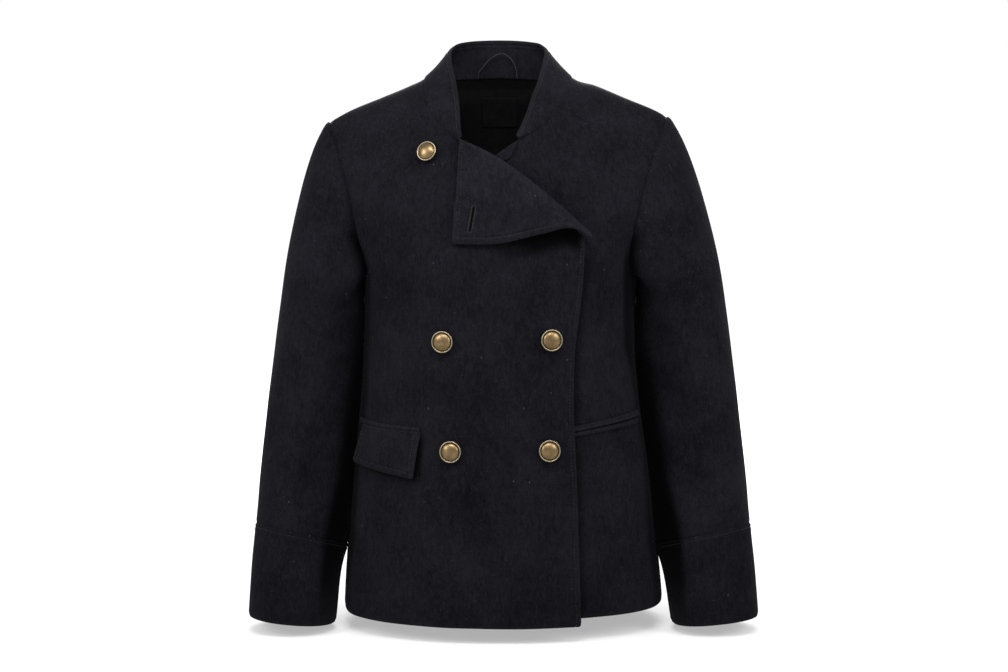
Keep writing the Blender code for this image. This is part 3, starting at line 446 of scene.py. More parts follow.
def neck_loop():
    """Neckline from the wearer's right front round the back to the left front."""
    right, left = front_neckline(-1)[::-1], front_neckline(1)
    back = back_neckline()[::-1][1:-1]
    points = np.vstack([body_at(right)[0], body_at(back)[0], form(left[:, 0], left[:, 1], under=True, still=True)])
    normals = np.vstack([body_at(line)[1] for line in (right, back, left)])
    for k in (COLS_NECK, COLS_NECK + COLS_BACK_NECK):
        normals[k] = ridge_normal(points[k:k + 1, 0])[0]
    normals = unit(smooth(normals, 4))
    edge = np.stack([through(even(20), COLLAR_EDGE[:, k], even(len(points) - 1)) for k in range(3)], 1)
    start = unit(edge - points)
    cloth = facing(unit(np.cross(slope(points), start)), points - (-0.005, -0.02, -0.06))
    return points, edge, smooth(mitre(normals, cloth), 24), unit(smooth(cloth, 10)), start


def form(turn, z, under=False, still=False):
    """The cloth's outer face on the body; under is the under-front, still leaves the creases out."""
    outer, normal = body(turn, z), body_normal(turn, z)
    if under:
        depth = UNDERLAP * (1 - ease(outer[..., 0], 0.104, 0.152)) * (1 - ease(outer[..., 2], -0.090, -0.058))
        outer = outer - normal * depth[..., None]
    if still:
        return outer
    return outer + normal * body_relief(turn, z, outer)[..., None]


def body_relief(turn, z, outer):
    """Creases and slow waves of the body's cloth, still where it is sewn or buttoned."""
    s = ((np.asarray(turn) + 1.2) % 4 - 1.2) * TURN_LENGTH
    wave = (0.0007 * np.sin(31 * s + 9 * z + 0.6) + 0.0005 * np.sin(57 * s - 21 * z + 2.0)
            + 0.0004 * np.sin(23 * z - 13 * s + 1.1))
    lift = creases(s, z, BODY_CREASES, TURN_LENGTH) + wave
    lift = lift * away_from(outer, STILL_LINES, 0.004, 0.048)
    beside_arm = hump((np.abs((turn + 2) % 4 - 2) - 1) * TURN_LENGTH, 0.030) * ease(-z, 0.25, 0.27)
    lift = lift * (1 - beside_arm * (1 - ease(-z, 0.50, 0.56)))
    for _, x, height, _ in BUTTONS:
        gap = np.hypot(outer[..., 0] - x, z - height)
        pressed = lift * ease(gap, 0.010, 0.035) - 0.0009 * hump(gap, 0.0075)
        lift = np.where(outer[..., 1] < 0, pressed, lift)
    return lift


LOOPS = {side: arm_loop(side) for side in (-1, 1)}
RIDGE_X = np.linspace(-0.19, 0.18, 60)
STILL_LINES = np.vstack([
    LOOPS[-1][0], LOOPS[1][0], np.stack([RIDGE_X, np.zeros(60), ridge(RIDGE_X)], 1),
    body(*on_front(np.vstack([NECKLINE[-1], NECKLINE[1], FOLD])).T), body(*back_neckline().T)])
NECK = neck_loop()


def fold_rows(steps):
    """Lapel lines on the over-front: where the curl starts, the way up across the fold, the free edge."""
    fold = along(FOLD, steps)
    free = np.stack([through(LAPEL_SHARES, LAPEL_EDGE[:, k], steps) for k in (0, 1)], 1)
    up = unit(fold - free)
    radius = (LAPEL_CURL[0] + (LAPEL_CURL[1] - LAPEL_CURL[0]) * steps ** 2)[:, None]
    return fold - up * (radius + EDGE_WALL), up, free, radius


# ---------------------------------------------------------------- cloth walls
SIDES = {"bottom": (0, 0), "top": (0, -1), "left": (1, 0), "right": (1, -1)}


def margin(grid, side):
    """Distance of each point from one side of its grid, measured in the cloth."""
    axis, end = SIDES[side]
    step = np.linalg.norm(np.diff(grid, axis=axis), axis=2)
    run = np.concatenate([np.zeros_like(np.take(step, [0], axis)), np.cumsum(step, axis)], axis)
    return run if end == 0 else np.take(run, [-1], axis) - run


def rolled(distance, thickness):
    """How far a face falls towards the middle of the cloth near a folded edge."""
    radius = 0.9 * thickness
    d = np.clip(distance, 0, radius)
    return thickness * 0.5 * (1 - np.sqrt(np.clip(1 - (1 - d / radius) ** 2, 0, 1))) * 0.55


def seam_dip(distance, depth=SEAM_DIP, reach=SEAM_REACH):
    return depth * hump(distance, reach) + 0.25 * depth * hump(distance, 3.5 * reach)


def stitched(distance, at, depth=0.00055, pad=0.00035):
    """A stitched line: the cloth drawn down along it and plump beside it."""
    off = distance - at
    return pad * (hump(off - 0.0023, 0.0016) + hump(off + 0.0023, 0.0016)) - depth * hump(off, 0.0010)


def raised(outer, inner, lift):
    return outer + unit(outer - inner) * lift[..., None]


def border(rows, cols, ring):
    """Loops of (row, column) round a grid's edge, with the cell inward of each."""
    if ring:
        return [[(0, j, 1, j) for j in range(cols)], [(rows - 1, j, rows - 2, j) for j in reversed(range(cols))]]
    loop = [(0, j, 1, j) for j in range(cols - 1)]
    loop += [(i, cols - 1, i, cols - 2) for i in range(rows - 1)]
    loop += [(rows - 1, j, rows - 2, j) for j in range(cols - 1, 0, -1)]
    loop += [(i, 0, i, 1) for i in range(rows - 1, 0, -1)]
    return [loop]


def shell(name, outer, inner, finishes, ring=False, bulge=0.85, lined=0, rub=None, shade=None):
    """A closed cloth wall between two grids, its edges rounded; lined is 1 where the lining shows inside.

    The last two values go to the finish: where the nap at a free edge is paler, partly rubbed and partly a painted
    highlight where the fuzz catches light, and painted shade where no light gets in.
    """
    rows, cols = outer.shape[:2]
    count = rows * cols
    verts = [outer.reshape(-1, 3), inner.reshape(-1, 3)]
    faces, slots = [], []
    lined = np.broadcast_to(lined, (rows, cols))
    for i in range(rows - 1):
        for j in range(cols if ring else cols - 1):
            k = (j + 1) % cols
            a, b, c, d = i * cols + j, i * cols + k, (i + 1) * cols + k, (i + 1) * cols + j
            faces += [(a, b, c, d), (a + count, d + count, c + count, b + count)]
            slots += [0, int(lined[i, j])]
    total = 2 * count
    for loop in border(rows, cols, ring):
        i, j, ii, jj = np.array(loop).T
        top, low = outer[i, j], inner[i, j]
        mid, half = (top + low) / 2, (top - low) / 2
        if not ring:
            corner = np.isin(i, (0, rows - 1)) & np.isin(j, (0, cols - 1))
            ii = np.where(corner, np.clip(i, 1, rows - 2), ii)
            jj = np.where(corner, np.clip(j, 1, cols - 2), jj)
        out = mid - (outer[ii, jj] + inner[ii, jj]) / 2
        for way in (unit(np.roll(mid, -1, 0) - np.roll(mid, 1, 0)), unit(half)):
            out -= way * np.sum(out * way, 1, keepdims=True)
        out = unit(out) * np.linalg.norm(half, axis=1, keepdims=True) * bulge
        ids = [i * cols + j]
        for step in range(1, EDGE_STEPS):
            angle = math.pi * step / EDGE_STEPS
            verts.append(mid + half * math.cos(angle) + out * math.sin(angle))
            ids.append(total + np.arange(len(loop)))
            total += len(loop)
        ids.append(i * cols + j + count)
        for a, b in zip(ids[:-1], ids[1:]):
            around = np.stack([a, b, np.roll(b, -1), np.roll(a, -1)], 1).tolist()
            faces += around
            slots += [0] * len(around)
    verts = np.vstack(verts)
    obj = mesh_piece(name, verts, faces, finishes)
    obj.data.polygons.foreach_set("material_index", slots)
    for word, spread, edge in (("rub", rub, 1), ("shade", shade, 0)):
        if spread is not None:
            values = np.full(len(verts), edge, np.float32)
            values[:2 * count] = np.r_[spread.reshape(-1), np.zeros(count)]
            point_values(obj.data, word, values)
    face_outward(obj)
    return obj


def point_values(mesh, word, values):
    mesh.attributes.new(word, "FLOAT", "POINT").data.foreach_set("value", values.astype(np.float32))


def mesh_piece(name, verts, faces, finishes):
    mesh = bpy.data.meshes.new(name)
    mesh.from_pydata(np.asarray(verts).tolist(), [], faces)
    obj = bpy.data.objects.new("look_" + name, mesh)
    bpy.context.scene.collection.objects.link(obj)
    for finish in finishes:
        mesh.materials.append(finish)
    mesh.polygons.foreach_set("use_smooth", [True] * len(mesh.polygons))
    return obj


def face_outward(obj):
    work = bmesh.new()
    work.from_mesh(obj.data)
    bmesh.ops.recalc_face_normals(work, faces=work.faces)
    if work.calc_volume(signed=True) < 0:
        bmesh.ops.reverse_faces(work, faces=work.faces)
    work.to_mesh(obj.data)
    work.free()


def fit(obj, node=None):
    """Puts a piece on the coat, in place of a node if it stands for one."""
    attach(obj, "root")
    if node:
        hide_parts(node)


# ---------------------------------------------------------------- finishes
def operator(operation, turned=False):
    """A sign of arithmetic between strands and numbers, as a Math node."""
    def apply(strand, other):
        pair = (other, strand) if turned else (strand, other)
        return strand.finish.node("ShaderNodeMath", {"operation": operation}, dict(enumerate(pair)))
    return apply


class Strand:
    """A shader socket that takes arithmetic."""
    __add__, __radd__ = operator("ADD"), operator("ADD", True)
    __sub__, __rsub__ = operator("SUBTRACT"), operator("SUBTRACT", True)
    __mul__, __rmul__ = operator("MULTIPLY"), operator("MULTIPLY", True)

    def __init__(self, finish, socket):
        self.finish, self.socket = finish, socket

    def clamp(self, low, high):
        """0 at low, 1 at high and beyond, smooth between; low may be the larger."""
        if low > high:
            return 1 - self.clamp(high, low)
        settings = {"interpolation_type": "SMOOTHSTEP", "clamp": True}
        return self.finish.node("ShaderNodeMapRange", settings, {"Value": self, "From Min": low, "From Max": high})


class Finish:
    """A material and its one shader."""

    def __init__(self, name, **sockets):
        self.material = bpy.data.materials.new(name)
        self.material.use_nodes = True
        self.tree = self.material.node_tree
        self.shader = self.tree.nodes["Principled BSDF"]
        for socket, value in sockets.items():
            self.set(socket.replace("_", " "), value)
        self.place = self.node("ShaderNodeTexCoord", output="Object")

    def set(self, socket, value):
        self.feed(self.shader.inputs[socket], value)

    def feed(self, socket, value):
        if isinstance(value, Strand):
            self.tree.links.new(value.socket, socket)
        elif isinstance(value, tuple) and len(value) == 3 and socket.type == "RGBA":
            socket.default_value = (*value, 1.0)
        else:
            socket.default_value = value

    def node(self, kind, settings=None, values=None, output=0):
        made = self.tree.nodes.new(kind)
        for key, value in (settings or {}).items():
            setattr(made, key, value)
        for key, value in (values or {}).items():
            self.feed(made.inputs[key], value)
        return Strand(self, made.outputs[output])

    def scaled(self, x, y, z):
        return self.node("ShaderNodeMapping", {}, {"Vector": self.place, "Scale": (x, y, z)})

    def noise(self, scale, detail=2.0, rough=0.5, at=None, stretch=0.0):
        values = {"Vector": at or self.place, "Scale": scale, "Detail": detail, "Roughness": rough,
                  "Distortion": stretch}
        return self.node("ShaderNodeTexNoise", {}, values)

    def ribs(self, scale, distortion, detail):
        return self.node("ShaderNodeTexWave", {"wave_type": "BANDS", "bands_direction": "DIAGONAL"},
                         {"Vector": self.place, "Scale": scale, "Distortion": distortion, "Detail": detail})

    def given(self, word):
        """A value that the mesh carries."""
        return self.node("ShaderNodeAttribute", {"attribute_name": word}, {}, "Fac")

    def mix(self, share, a, b):
        return self.node("ShaderNodeMix", {"data_type": "RGBA", "blend_type": "MIX"}, {0: share, 6: a, 7: b}, 2)

    def bump(self, height, distance, strength=1.0, onto=None):
        values = {"Strength": strength, "Distance": distance, "Height": height}
        if onto:
            values["Normal"] = onto
        return self.node("ShaderNodeBump", {}, values)


def times(colour, share):
    return tuple(share * c for c in colour)


WOOL_DARK, WOOL_MID, WOOL_PALE = (0.0019, 0.0018, 0.0025), (0.0072, 0.0068, 0.0090), (0.023, 0.022, 0.025)
# WOOL_SHADE is the near black of painted shade; LINT is the pale specks in the nap.
WOOL_SHADE, LINT = (0.0003, 0.0003, 0.0004), (0.050, 0.050, 0.052)


def wool(name, tone=1.0):
    """Melton: a felted nap, darker and paler fibres in it, and a little lint."""
    finish = Finish(name, Roughness=0.92, Sheen_Weight=0.011, Sheen_Roughness=0.5, Sheen_Tint=(0.80, 0.78, 0.95),
                    Specular_IOR_Level=0.012)
    cloud = finish.noise(16, 3.0, 0.55)
    nap = finish.noise(620, 3.0, 0.62, stretch=0.6)
    tuft = finish.noise(210, 2.0, 0.6, finish.scaled(1.0, 1.0, 0.45), 1.2)
    fibre = finish.noise(520, 2.0, 0.5, finish.scaled(0.30, 0.30, 1.0), 2.2)
    blend = (cloud * 0.5 + nap * 0.3 + tuft * 0.5 - 0.15).clamp(0.22, 0.80)
    colour = finish.mix(blend, times(WOOL_DARK, tone), times(WOOL_MID, tone))
    strands = fibre.clamp(0.665, 0.76) * nap.clamp(0.35, 0.6)
    colour = finish.mix(strands * 0.60, colour, WOOL_PALE)
    cells = ("ShaderNodeTexVoronoi", {"feature": "F1"},
             {"Vector": finish.scaled(1.0, 1.0, 0.62), "Scale": 170.0, "Randomness": 1.0})
    pick = finish.node("ShaderNodeSeparateColor", {}, {0: finish.node(*cells, "Color")}).clamp(0.945, 0.975)
    ragged = (finish.noise(1400, 2.0, 0.6) * 0.22 - 0.11 + finish.node(*cells)).clamp(0.155, 0.060)
    lint = ragged * pick * finish.noise(28, 1.0).clamp(0.40, 0.62)
    colour = finish.mix(lint * 0.55, colour, LINT)
    # Paler nap near free edges: partly rubbed, partly a painted highlight where the fuzz catches light.
    colour = finish.mix(finish.given("rub") * nap.clamp(0.3, 0.7) * 0.13, colour, WOOL_PALE)
    # Painted shade: near black where the mesh marks clefts and cast shadows.
    finish.set("Base Color", finish.mix(finish.given("shade"), colour, WOOL_SHADE))
    finish.set("Roughness", 0.86 + 0.12 * nap)
    coarse = finish.bump(tuft * 0.6 + cloud * 0.8, 0.0009, 0.8)
    finish.set("Normal", finish.bump(nap * 0.7 + fibre * 0.5, 0.00045, 0.9, coarse))
    return finish.material


def satin(name, colour, rough):
    """Lining: a fine slanted weave that shines softly."""
    finish = Finish(name, Specular_IOR_Level=0.12, Roughness=rough)
    slub = finish.noise(240, 2.0, 0.5, finish.scaled(1.0, 1.0, 0.12))
    finish.set("Base Color", finish.mix(slub.clamp(0.3, 0.75), colour, times(colour, 1.9)))
    finish.set("Roughness", rough + 0.2 * slub)
    weave = finish.ribs(420.0, 0.6, 1.0) * 0.6 + slub * 0.5
    finish.set("Normal", finish.bump(weave, 0.00020, 0.7, finish.bump(finish.noise(22), 0.003)))
    return finish.material


def spun(name, colour, twist):
    """Thread and cord: plies that wind round."""
    finish = Finish(name, Roughness=0.62, Specular_IOR_Level=0.3)
    ply = finish.ribs(twist, 1.2, 2.0)
    finish.set("Base Color", finish.mix(ply, times(colour, 0.55), colour))
    finish.set("Normal", finish.bump(ply, 0.00025, 0.8))
    return finish.material


def antique_brass(name):
    """Brass darkened in its hollows, rubbed bright on dome and rim."""
    finish = Finish(name, Metallic=1.0)
    cloud, grain = finish.noise(140, 4.0, 0.6), finish.noise(1500, 2.0, 0.6)
    pits, rim = finish.noise(620, 2.0, 0.5).clamp(0.66, 0.76), finish.given("rim")
    tarnish = finish.given("groove") * 0.9 + cloud.clamp(0.42, 0.75) * 0.30 * (1 - rim) + pits * 0.35
    tarnish = tarnish.clamp(0.0, 1.0)
    rubbed = finish.mix(cloud.clamp(0.3, 0.6), (0.180, 0.128, 0.066), (0.125, 0.086, 0.042))
    rubbed = finish.mix(rim, rubbed, (0.210, 0.175, 0.120))
    finish.set("Base Color", finish.mix(tarnish, rubbed, (0.045, 0.028, 0.014)))
    finish.set("Roughness", 0.33 + 0.22 * tarnish + 0.06 * grain)
    finish.set("Normal", finish.bump(grain * 0.4 + pits * -0.8 + cloud * 0.5, 0.00012, 0.6))
    return finish.material


# A near-black sheet for the inside of a slit: painted shadow.
def slit_shadow_finish(name):
    finish = Finish(name, Specular_IOR_Level=0.0)
    grain = finish.noise(900, 1.0)
    finish.set("Base Color", finish.mix(grain, (0.0008, 0.0008, 0.0010), (0.0022, 0.0022, 0.0026)))
    finish.set("Roughness", 0.9 + 0.1 * grain)
    return finish.material


# Copies of the same wool, lighter or darker as a whole: the lapel and collar painted lighter where the light from
# above falls on them, the cuffs painted darker low down, and the folded pieces a little lighter.
WOOL, WOOL_FOLD, WOOL_LAPEL_PAINTED_LIGHT = wool("wool"), wool("wool_folded", 1.05), wool("wool_lapel_painted_light", 1.35)
WOOL_COLLAR_PAINTED_LIGHT, WOOL_CUFF_PAINTED_SHADE = wool("wool_collar_painted_light", 1.14), wool("wool_cuff_painted_shade", 0.84)
LINING = satin("lining", (0.0009, 0.0009, 0.0011), 0.58)
LABEL_CLOTH = satin("label_cloth", (0.0014, 0.0014, 0.0014), 0.60)
THREAD_FINISH = spun("thread", (0.0046, 0.0046, 0.0064), 1500.0)
HOLE_THREAD = spun("buttonhole_thread", (0.0040, 0.0040, 0.0056), 1200.0)
CORD_FINISH = spun("braid", (0.011, 0.011, 0.0125), 900.0)
BRASS, SLIT_SHADOW = antique_brass("antique_brass"), slit_shadow_finish("slit_shadow")


# ---------------------------------------------------------------- fronts, back
def edges_share(shares, *counts):
    """Columns of a panel, shared out over its upper edges."""
    marks = np.cumsum((0,) + shares) / sum(shares)
    parts = [marks[k] + (marks[k + 1] - marks[k]) * even(count)[1:] for k, count in enumerate(counts)]
    return np.r_[0, np.concatenate(parts)], marks


def panel_places(side):
    """Places of a front's cloth."""
    right, low = side < 0, HEM[side]
    outside = np.vstack([side_seam(side, low), armhole(side, False)[1:]])
    neck = front_neckline(side)
    steps = graded(COLS_FOLD, COLS_FOLD_FINE, 0.072) if right else even(COLS_UNDER)
    if right:
        cross = on_front(fold_rows(steps)[0])
        cross[0] = neck[-1]
    else:
        cross = on_front(along(UNDER_FOLD, steps))
    top = np.vstack([shoulder(side, False), neck[1:], cross[1:]])
    u, marks = edges_share((6, 5, 8 if right else 7), COLS_SHOULDER, COLS_NECK)
    u = np.r_[u, marks[2] + (1 - marks[2]) * steps[1:]]
    v = smooth((outside[:, 1] - outside[0, 1]) / (outside[-1, 1] - outside[0, 1]), 500)
    z = low + (top[-1, 1] - low) * v
    x = read(FRONT_EDGE, z) if right else read(UNDER_EDGE, z, curve=straight)
    x += (body(*top[-1])[0] - x[-1]) * np.clip((v - 0.75) / 0.25, 0, 1) ** 2
    inside = on_front(np.stack([x, z], 1))
    inside[-1] = top[-1]
    bottom = np.stack([outside[0, 0] + (inside[0, 0] - outside[0, 0]) * u, np.full(len(u), low)], 1)
    places = fill(bottom, top, outside, inside, u)
    places[:ROWS_SIDE + 1, 0, 0] -= side * 0.5 * SEAM / TURN_LENGTH
    return places


def front_panel(side):
    right, n = side < 0, COLS_SHOULDER
    places = panel_places(side)
    outer = form(places[..., 0], places[..., 1], under=not right)
    normals = body_normal(places[..., 0], places[..., 1])
    points, arm_mitre, _, _ = LOOPS[side]
    outer[-1, :n + 1, 1] = -0.5 * SEAM
    normals[-1, :n + 1] = ridge_normal(outer[-1, :n + 1, 0])
    outer[ROWS_SIDE:, 0] = points[:ROWS_ARM + 1]
    normals[ROWS_SIDE:, 0] = arm_mitre[:ROWS_ARM + 1]
    neck_points, neck_mitre = (part[:COLS_NECK + 1][::-1] if right else part[-COLS_NECK - 1:]
                               for part in (NECK[0], NECK[2]))
    outer[-1, n + 1:n + COLS_NECK + 1] = neck_points[1:]
    normals[-1, n:n + COLS_NECK + 1] = neck_mitre
    outer[-1, (0, n), 1] = -0.5 * SEAM
    x = outer[..., 0]
    double = ease(x, -0.040, 0.0) if right else 1 - ease(x, 0.0, 0.040)
    if not right:
        double = double * (1 - ease(outer[..., 2], -0.10, -0.07))
    thickness = WALL + (EDGE_WALL - WALL) * double
    thickness[-1, :n + COLS_NECK + 1] = WALL
    inner = outer - normals * thickness[..., None]
    hem, edge, top, arm = (margin(outer, s) for s in ("bottom", "right", "top", "left"))
    sewn_top = np.arange(x.shape[1]) < n + COLS_NECK + 1
    lift = -seam_dip(arm, 0.0018, 0.0015) - seam_dip(top) * sewn_top - rolled(hem, thickness)
    if right:
        lift += stitched(edge, 0.0055) * ease(top, 0.004, 0.012) - rolled(edge, thickness)
    else:
        lift += pocket_mouth(outer)
    outer = raised(outer, inner, lift)
    lined = (edge > (0.085 if right else 0.075)) & (hem > LINED_FROM)
    node = "front_right" if right else "front_left"
    obj = shell(node, outer, inner, (WOOL, LINING), lined=lined, rub=hump(np.minimum(hem, edge), 0.003),
                shade=front_shade(outer, side))
    fit(obj, node)
    return outer


def front_shade(outer, side):
    """Painted shade and shadows beside what lies on a front: an arm, lapel and flap on the right one, the over-front
    on the left.
    """
    x, z = outer[..., 0], outer[..., 2]
    past = side * (x - read(BODY_PAINTED_SHADE[side], z, curve=straight))
    # Painted shade on the body's side, in the cleft beside the arm.
    arm_cleft_shade = 0.97 * ease(past, -0.004, 0.002) * ease(-z, 0.180, 0.205) * (1 - ease(-z, 0.55, 0.61))
    if side > 0:
        # Painted shadow beside the over-front's edge.
        beside = x - read(FRONT_EDGE, z)
        return np.maximum(arm_cleft_shade, EDGE_PAINTED_SHADOW * (1 - ease(beside, 0.001, 0.011)) * ease(-z, 0.185, 0.21))
    # Painted shadow under the lapel's free edge.
    below = read(LAPEL_EDGE, x) - z
    lapel_shadow = LAPEL_PAINTED_SHADOW * (1 - ease(below, 0.014, 0.029)) * ease(x, -0.02, 0.040) * (1 - ease(x, 0.080, 0.090))
    # Painted shadow right of and below the pocket flap.
    (x1, z1), (x2, z2), (x3, z3) = FLAP[1:]
    off = x - (x1 + (x2 - x1) * np.clip((z - z1) / (z2 - z1), 0, 1))
    flap_right_shadow = (1 - ease(off, 0.001, 0.008)) * ease(x, x2 - 0.006, x2 - 0.002) * ease(-z, -z1, -z1 + 0.008)
    flap_right_shadow = flap_right_shadow * (1 - ease(-z, -z2, -z2 + 0.006))
    under = z2 + (z3 - z2) * np.clip((x - x2) / (x3 - x2), 0, 1) - z
    flap_low_shadow = (1 - ease(under, 0.001, 0.008)) * ease(under, -0.012, -0.004)
    flap_low_shadow = flap_low_shadow * ease(x, x3 - 0.006, x3) * (1 - ease(x, x2, x2 + 0.004))
    flap_shadow = FLAP_PAINTED_SHADOW * np.maximum(flap_right_shadow, 0.7 * flap_low_shadow)
    return np.maximum(arm_cleft_shade, np.maximum(lapel_shadow * ease(-z, 0.150, 0.165), flap_shadow))


def pocket_mouth(outer):
    """The slit of the pocket pressed into the under-front."""
    (x0, z0), (x1, z1) = POCKET_MOUTH
    t = np.clip((outer[..., 0] - x0) / (x1 - x0), 0, 1)
    off = outer[..., 2] - (z0 + (z1 - z0) * t)
    inside = ease(outer[..., 0], x0 - 0.004, x0) * (1 - ease(outer[..., 0], x1, x1 + 0.004))
    return -0.0016 * hump(off, 0.0030) * inside * (outer[..., 1] < 0)


def back_panel():
    turned = (4.0, 0.0)
    low, n = HEM[-1], COLS_SHOULDER
    right = np.vstack([side_seam(1, low), armhole(1, True)[1:]])
    left = np.vstack([side_seam(-1, low), armhole(-1, True)[1:]]) + turned
    top = np.vstack([shoulder(1, True), back_neckline()[1:], (shoulder(-1, True) + turned)[::-1][1:]])
    u, _ = edges_share((6, 10, 6), n, COLS_BACK_NECK, n)
    bottom = np.stack([1 + 2 * u, np.full(len(u), low)], 1)
    places = fill(bottom, top, right, left, u)
    gap = 0.5 * SEAM / TURN_LENGTH
    places[:ROWS_SIDE + 1, 0, 0] += gap
    places[:ROWS_SIDE + 1, -1, 0] -= gap
    outer = form(places[..., 0], places[..., 1])
    normals = body_normal(places[..., 0], places[..., 1])
    for span in (slice(0, n + 1), slice(-n - 1, None)):
        outer[-1, span, 1] = 0.5 * SEAM
        normals[-1, span] = ridge_normal(outer[-1, span, 0])
    for col, side in ((0, 1), (-1, -1)):
        for grid, shared in ((outer, LOOPS[side][0]), (normals, LOOPS[side][1])):
            grid[ROWS_SIDE:, col] = np.vstack([shared[:1], shared[:ROWS_ARM - 1:-1]])
        outer[(ROWS_SIDE, -1), col, 1] = 0.5 * SEAM
    for grid, shared in ((outer, NECK[0]), (normals, NECK[2])):
        grid[-1, n:-n] = shared[COLS_NECK:COLS_NECK + COLS_BACK_NECK + 1][::-1]
    outer[-1, (n, -n - 1), 1] = 0.5 * SEAM
    inner = outer - normals * WALL
    hem = margin(outer, "bottom")
    lift = -rolled(hem, WALL)
    for side in ("left", "right", "top"):
        lift -= seam_dip(margin(outer, side))
    obj = shell("back", raised(outer, inner, lift), inner, (WOOL, LINING), lined=hem > LINED_FROM,
                rub=hump(hem, 0.003))
    fit(obj, "back")


# ---------------------------------------------------------------- lapel and collar
def lapel():
    steps = 1 - graded(34, 14, 0.085)[::-1]
    start, up, free, radius = fold_rows(steps)
    start[0] = NECKLINE[-1][-1]
    start[0] += (fold_rows(even(8))[0][1] - start[0]) * 0.14
    base, normal = body_at(on_front(start))
    rise = unit(body_at(on_front(start + up * 0.002))[0] - base)
    inner, outer = [], []
    for angle in np.linspace(0, math.pi, 16):
        centre = base + normal * radius + rise * 2 * SEAM * (angle == 0)
        arm = rise * math.sin(angle) - normal * math.cos(angle)
        inner.append(centre + arm * radius)
        outer.append(centre + arm * (radius + EDGE_WALL))
    stand = LAPEL_STAND[0] + (LAPEL_STAND[1] - LAPEL_STAND[0]) * steps ** 1.6
    for v in graded(24, 14, 0.16)[1:]:
        lay, out = body_at(on_front(start + (free - start) * v))
        gap = 2 * radius[:, 0] + (stand - 2 * radius[:, 0]) * ease(v, 0.0, 1.0)
        gap = (gap + 0.0016 * math.sin(math.pi * v) * np.sin(math.pi * steps) ** 0.8)[:, None]
        inner.append(lay + out * gap)
        outer.append(lay + out * (gap + EDGE_WALL))
    outer, inner = np.array(outer), np.array(inner)
    below, side = margin(outer, "top"), margin(outer, "left")
    lift = stitched(below, 0.0065, 0.0007, 0.0005) * ease(side, 0.004, 0.010)
    lift += stitched(side, 0.0062) * ease(below, 0.004, 0.010) - rolled(below, EDGE_WALL) - rolled(side, EDGE_WALL)
    lift += 0.00025 * (hump(side - 0.0102, 0.0012) + hump(side - 0.0160, 0.0016) + hump(side - 0.0240, 0.0020))
    lift += creases(side, margin(outer, "bottom"), LAPEL_CREASES, 1.0) * ease(below, 0.010, 0.03)
    outer = raised(outer, inner, lift)
    obj = shell("lapel", outer, inner, (WOOL_LAPEL_PAINTED_LIGHT, LINING), rub=hump(np.minimum(below, side), 0.0035))
    fit(obj, "lapel")
    return outer


def collar():
    points, edge, shared, cloth, start = NECK
    away = unit(facing(np.cross(unit(shared), slope(points)), start))
    outer, inner = [], []
    for v in graded(14, 12, 0.30):
        row = points + (edge - points) * v + cloth * (0.0022 * 4 * v * (1 - v)) + away * SEAM * (v == 0)
        outer.append(row)
        inner.append(row - (shared + (unit(cloth) - shared) * min(1.0, v * 4)) * EDGE_WALL)
    outer, inner = np.array(outer), np.array(inner)
    free, seam = margin(outer, "top"), margin(outer, "bottom")
    out = unit(outer - inner)
    wave = 0.0005 * np.sin(np.linspace(0, 19, outer.shape[1])[None, :]) * ease(seam, 0.004, 0.02)
    lift, inside = (stitched(d, 0.0045, 0.0006, 0.0004) - rolled(d, EDGE_WALL) for d in (free, margin(inner, "top")))
    outer = outer + out * (lift - seam_dip(seam) + wave)[..., None]
    inner = inner + out * (wave - inside)[..., None]
    fit(shell("collar", outer, inner, (WOOL_COLLAR_PAINTED_LIGHT, LINING), rub=hump(free, 0.0035)), "collar")
    return outer


def under_lapel():
    """The under-front's own turned edge, a sliver of which shows where the collar opens."""
    fold = along(UNDER_FOLD, even(40))[1:15]
    low_edge = np.array([0.0075, -0.0905]) + even(len(fold) - 1)[:, None] * (-0.0300, -0.0150)
    outer, inner = [], []
    for v in even(8):
        spots = on_front(fold + (low_edge - fold) * v)
        lay = form(spots[:, 0], spots[:, 1], under=True)
        out = body_at(spots)[1]
        outer.append(lay + out * 0.0026)
        inner.append(lay + out * 0.0005)
    fit(shell("under_lapel", np.array(outer), np.array(inner), (WOOL_FOLD, LINING)))


# ---------------------------------------------------------------- sleeves and cuffs
def beside_body(points, side):
    """Moves an arm's points out where they would lie within the body's side."""
    y, z = points[..., 1], points[..., 2]
    depth = np.where(y < 0, read(RINGS, z, 3), read(RINGS, z, 4))
    share = np.clip(np.abs(y) / depth, 0, 1)
    edge = half_width(z, side) * (1 - share ** SQUARENESS) ** (1 / SQUARENESS)
    moved = points.copy()
    moved[..., 0] += side * np.maximum(0, edge + ARM_CLEAR - side * points[..., 0])
    return moved


def arm_centre(side, z):
    return np.array([side * read(ARM, z), read(ARM, z, 2), z])


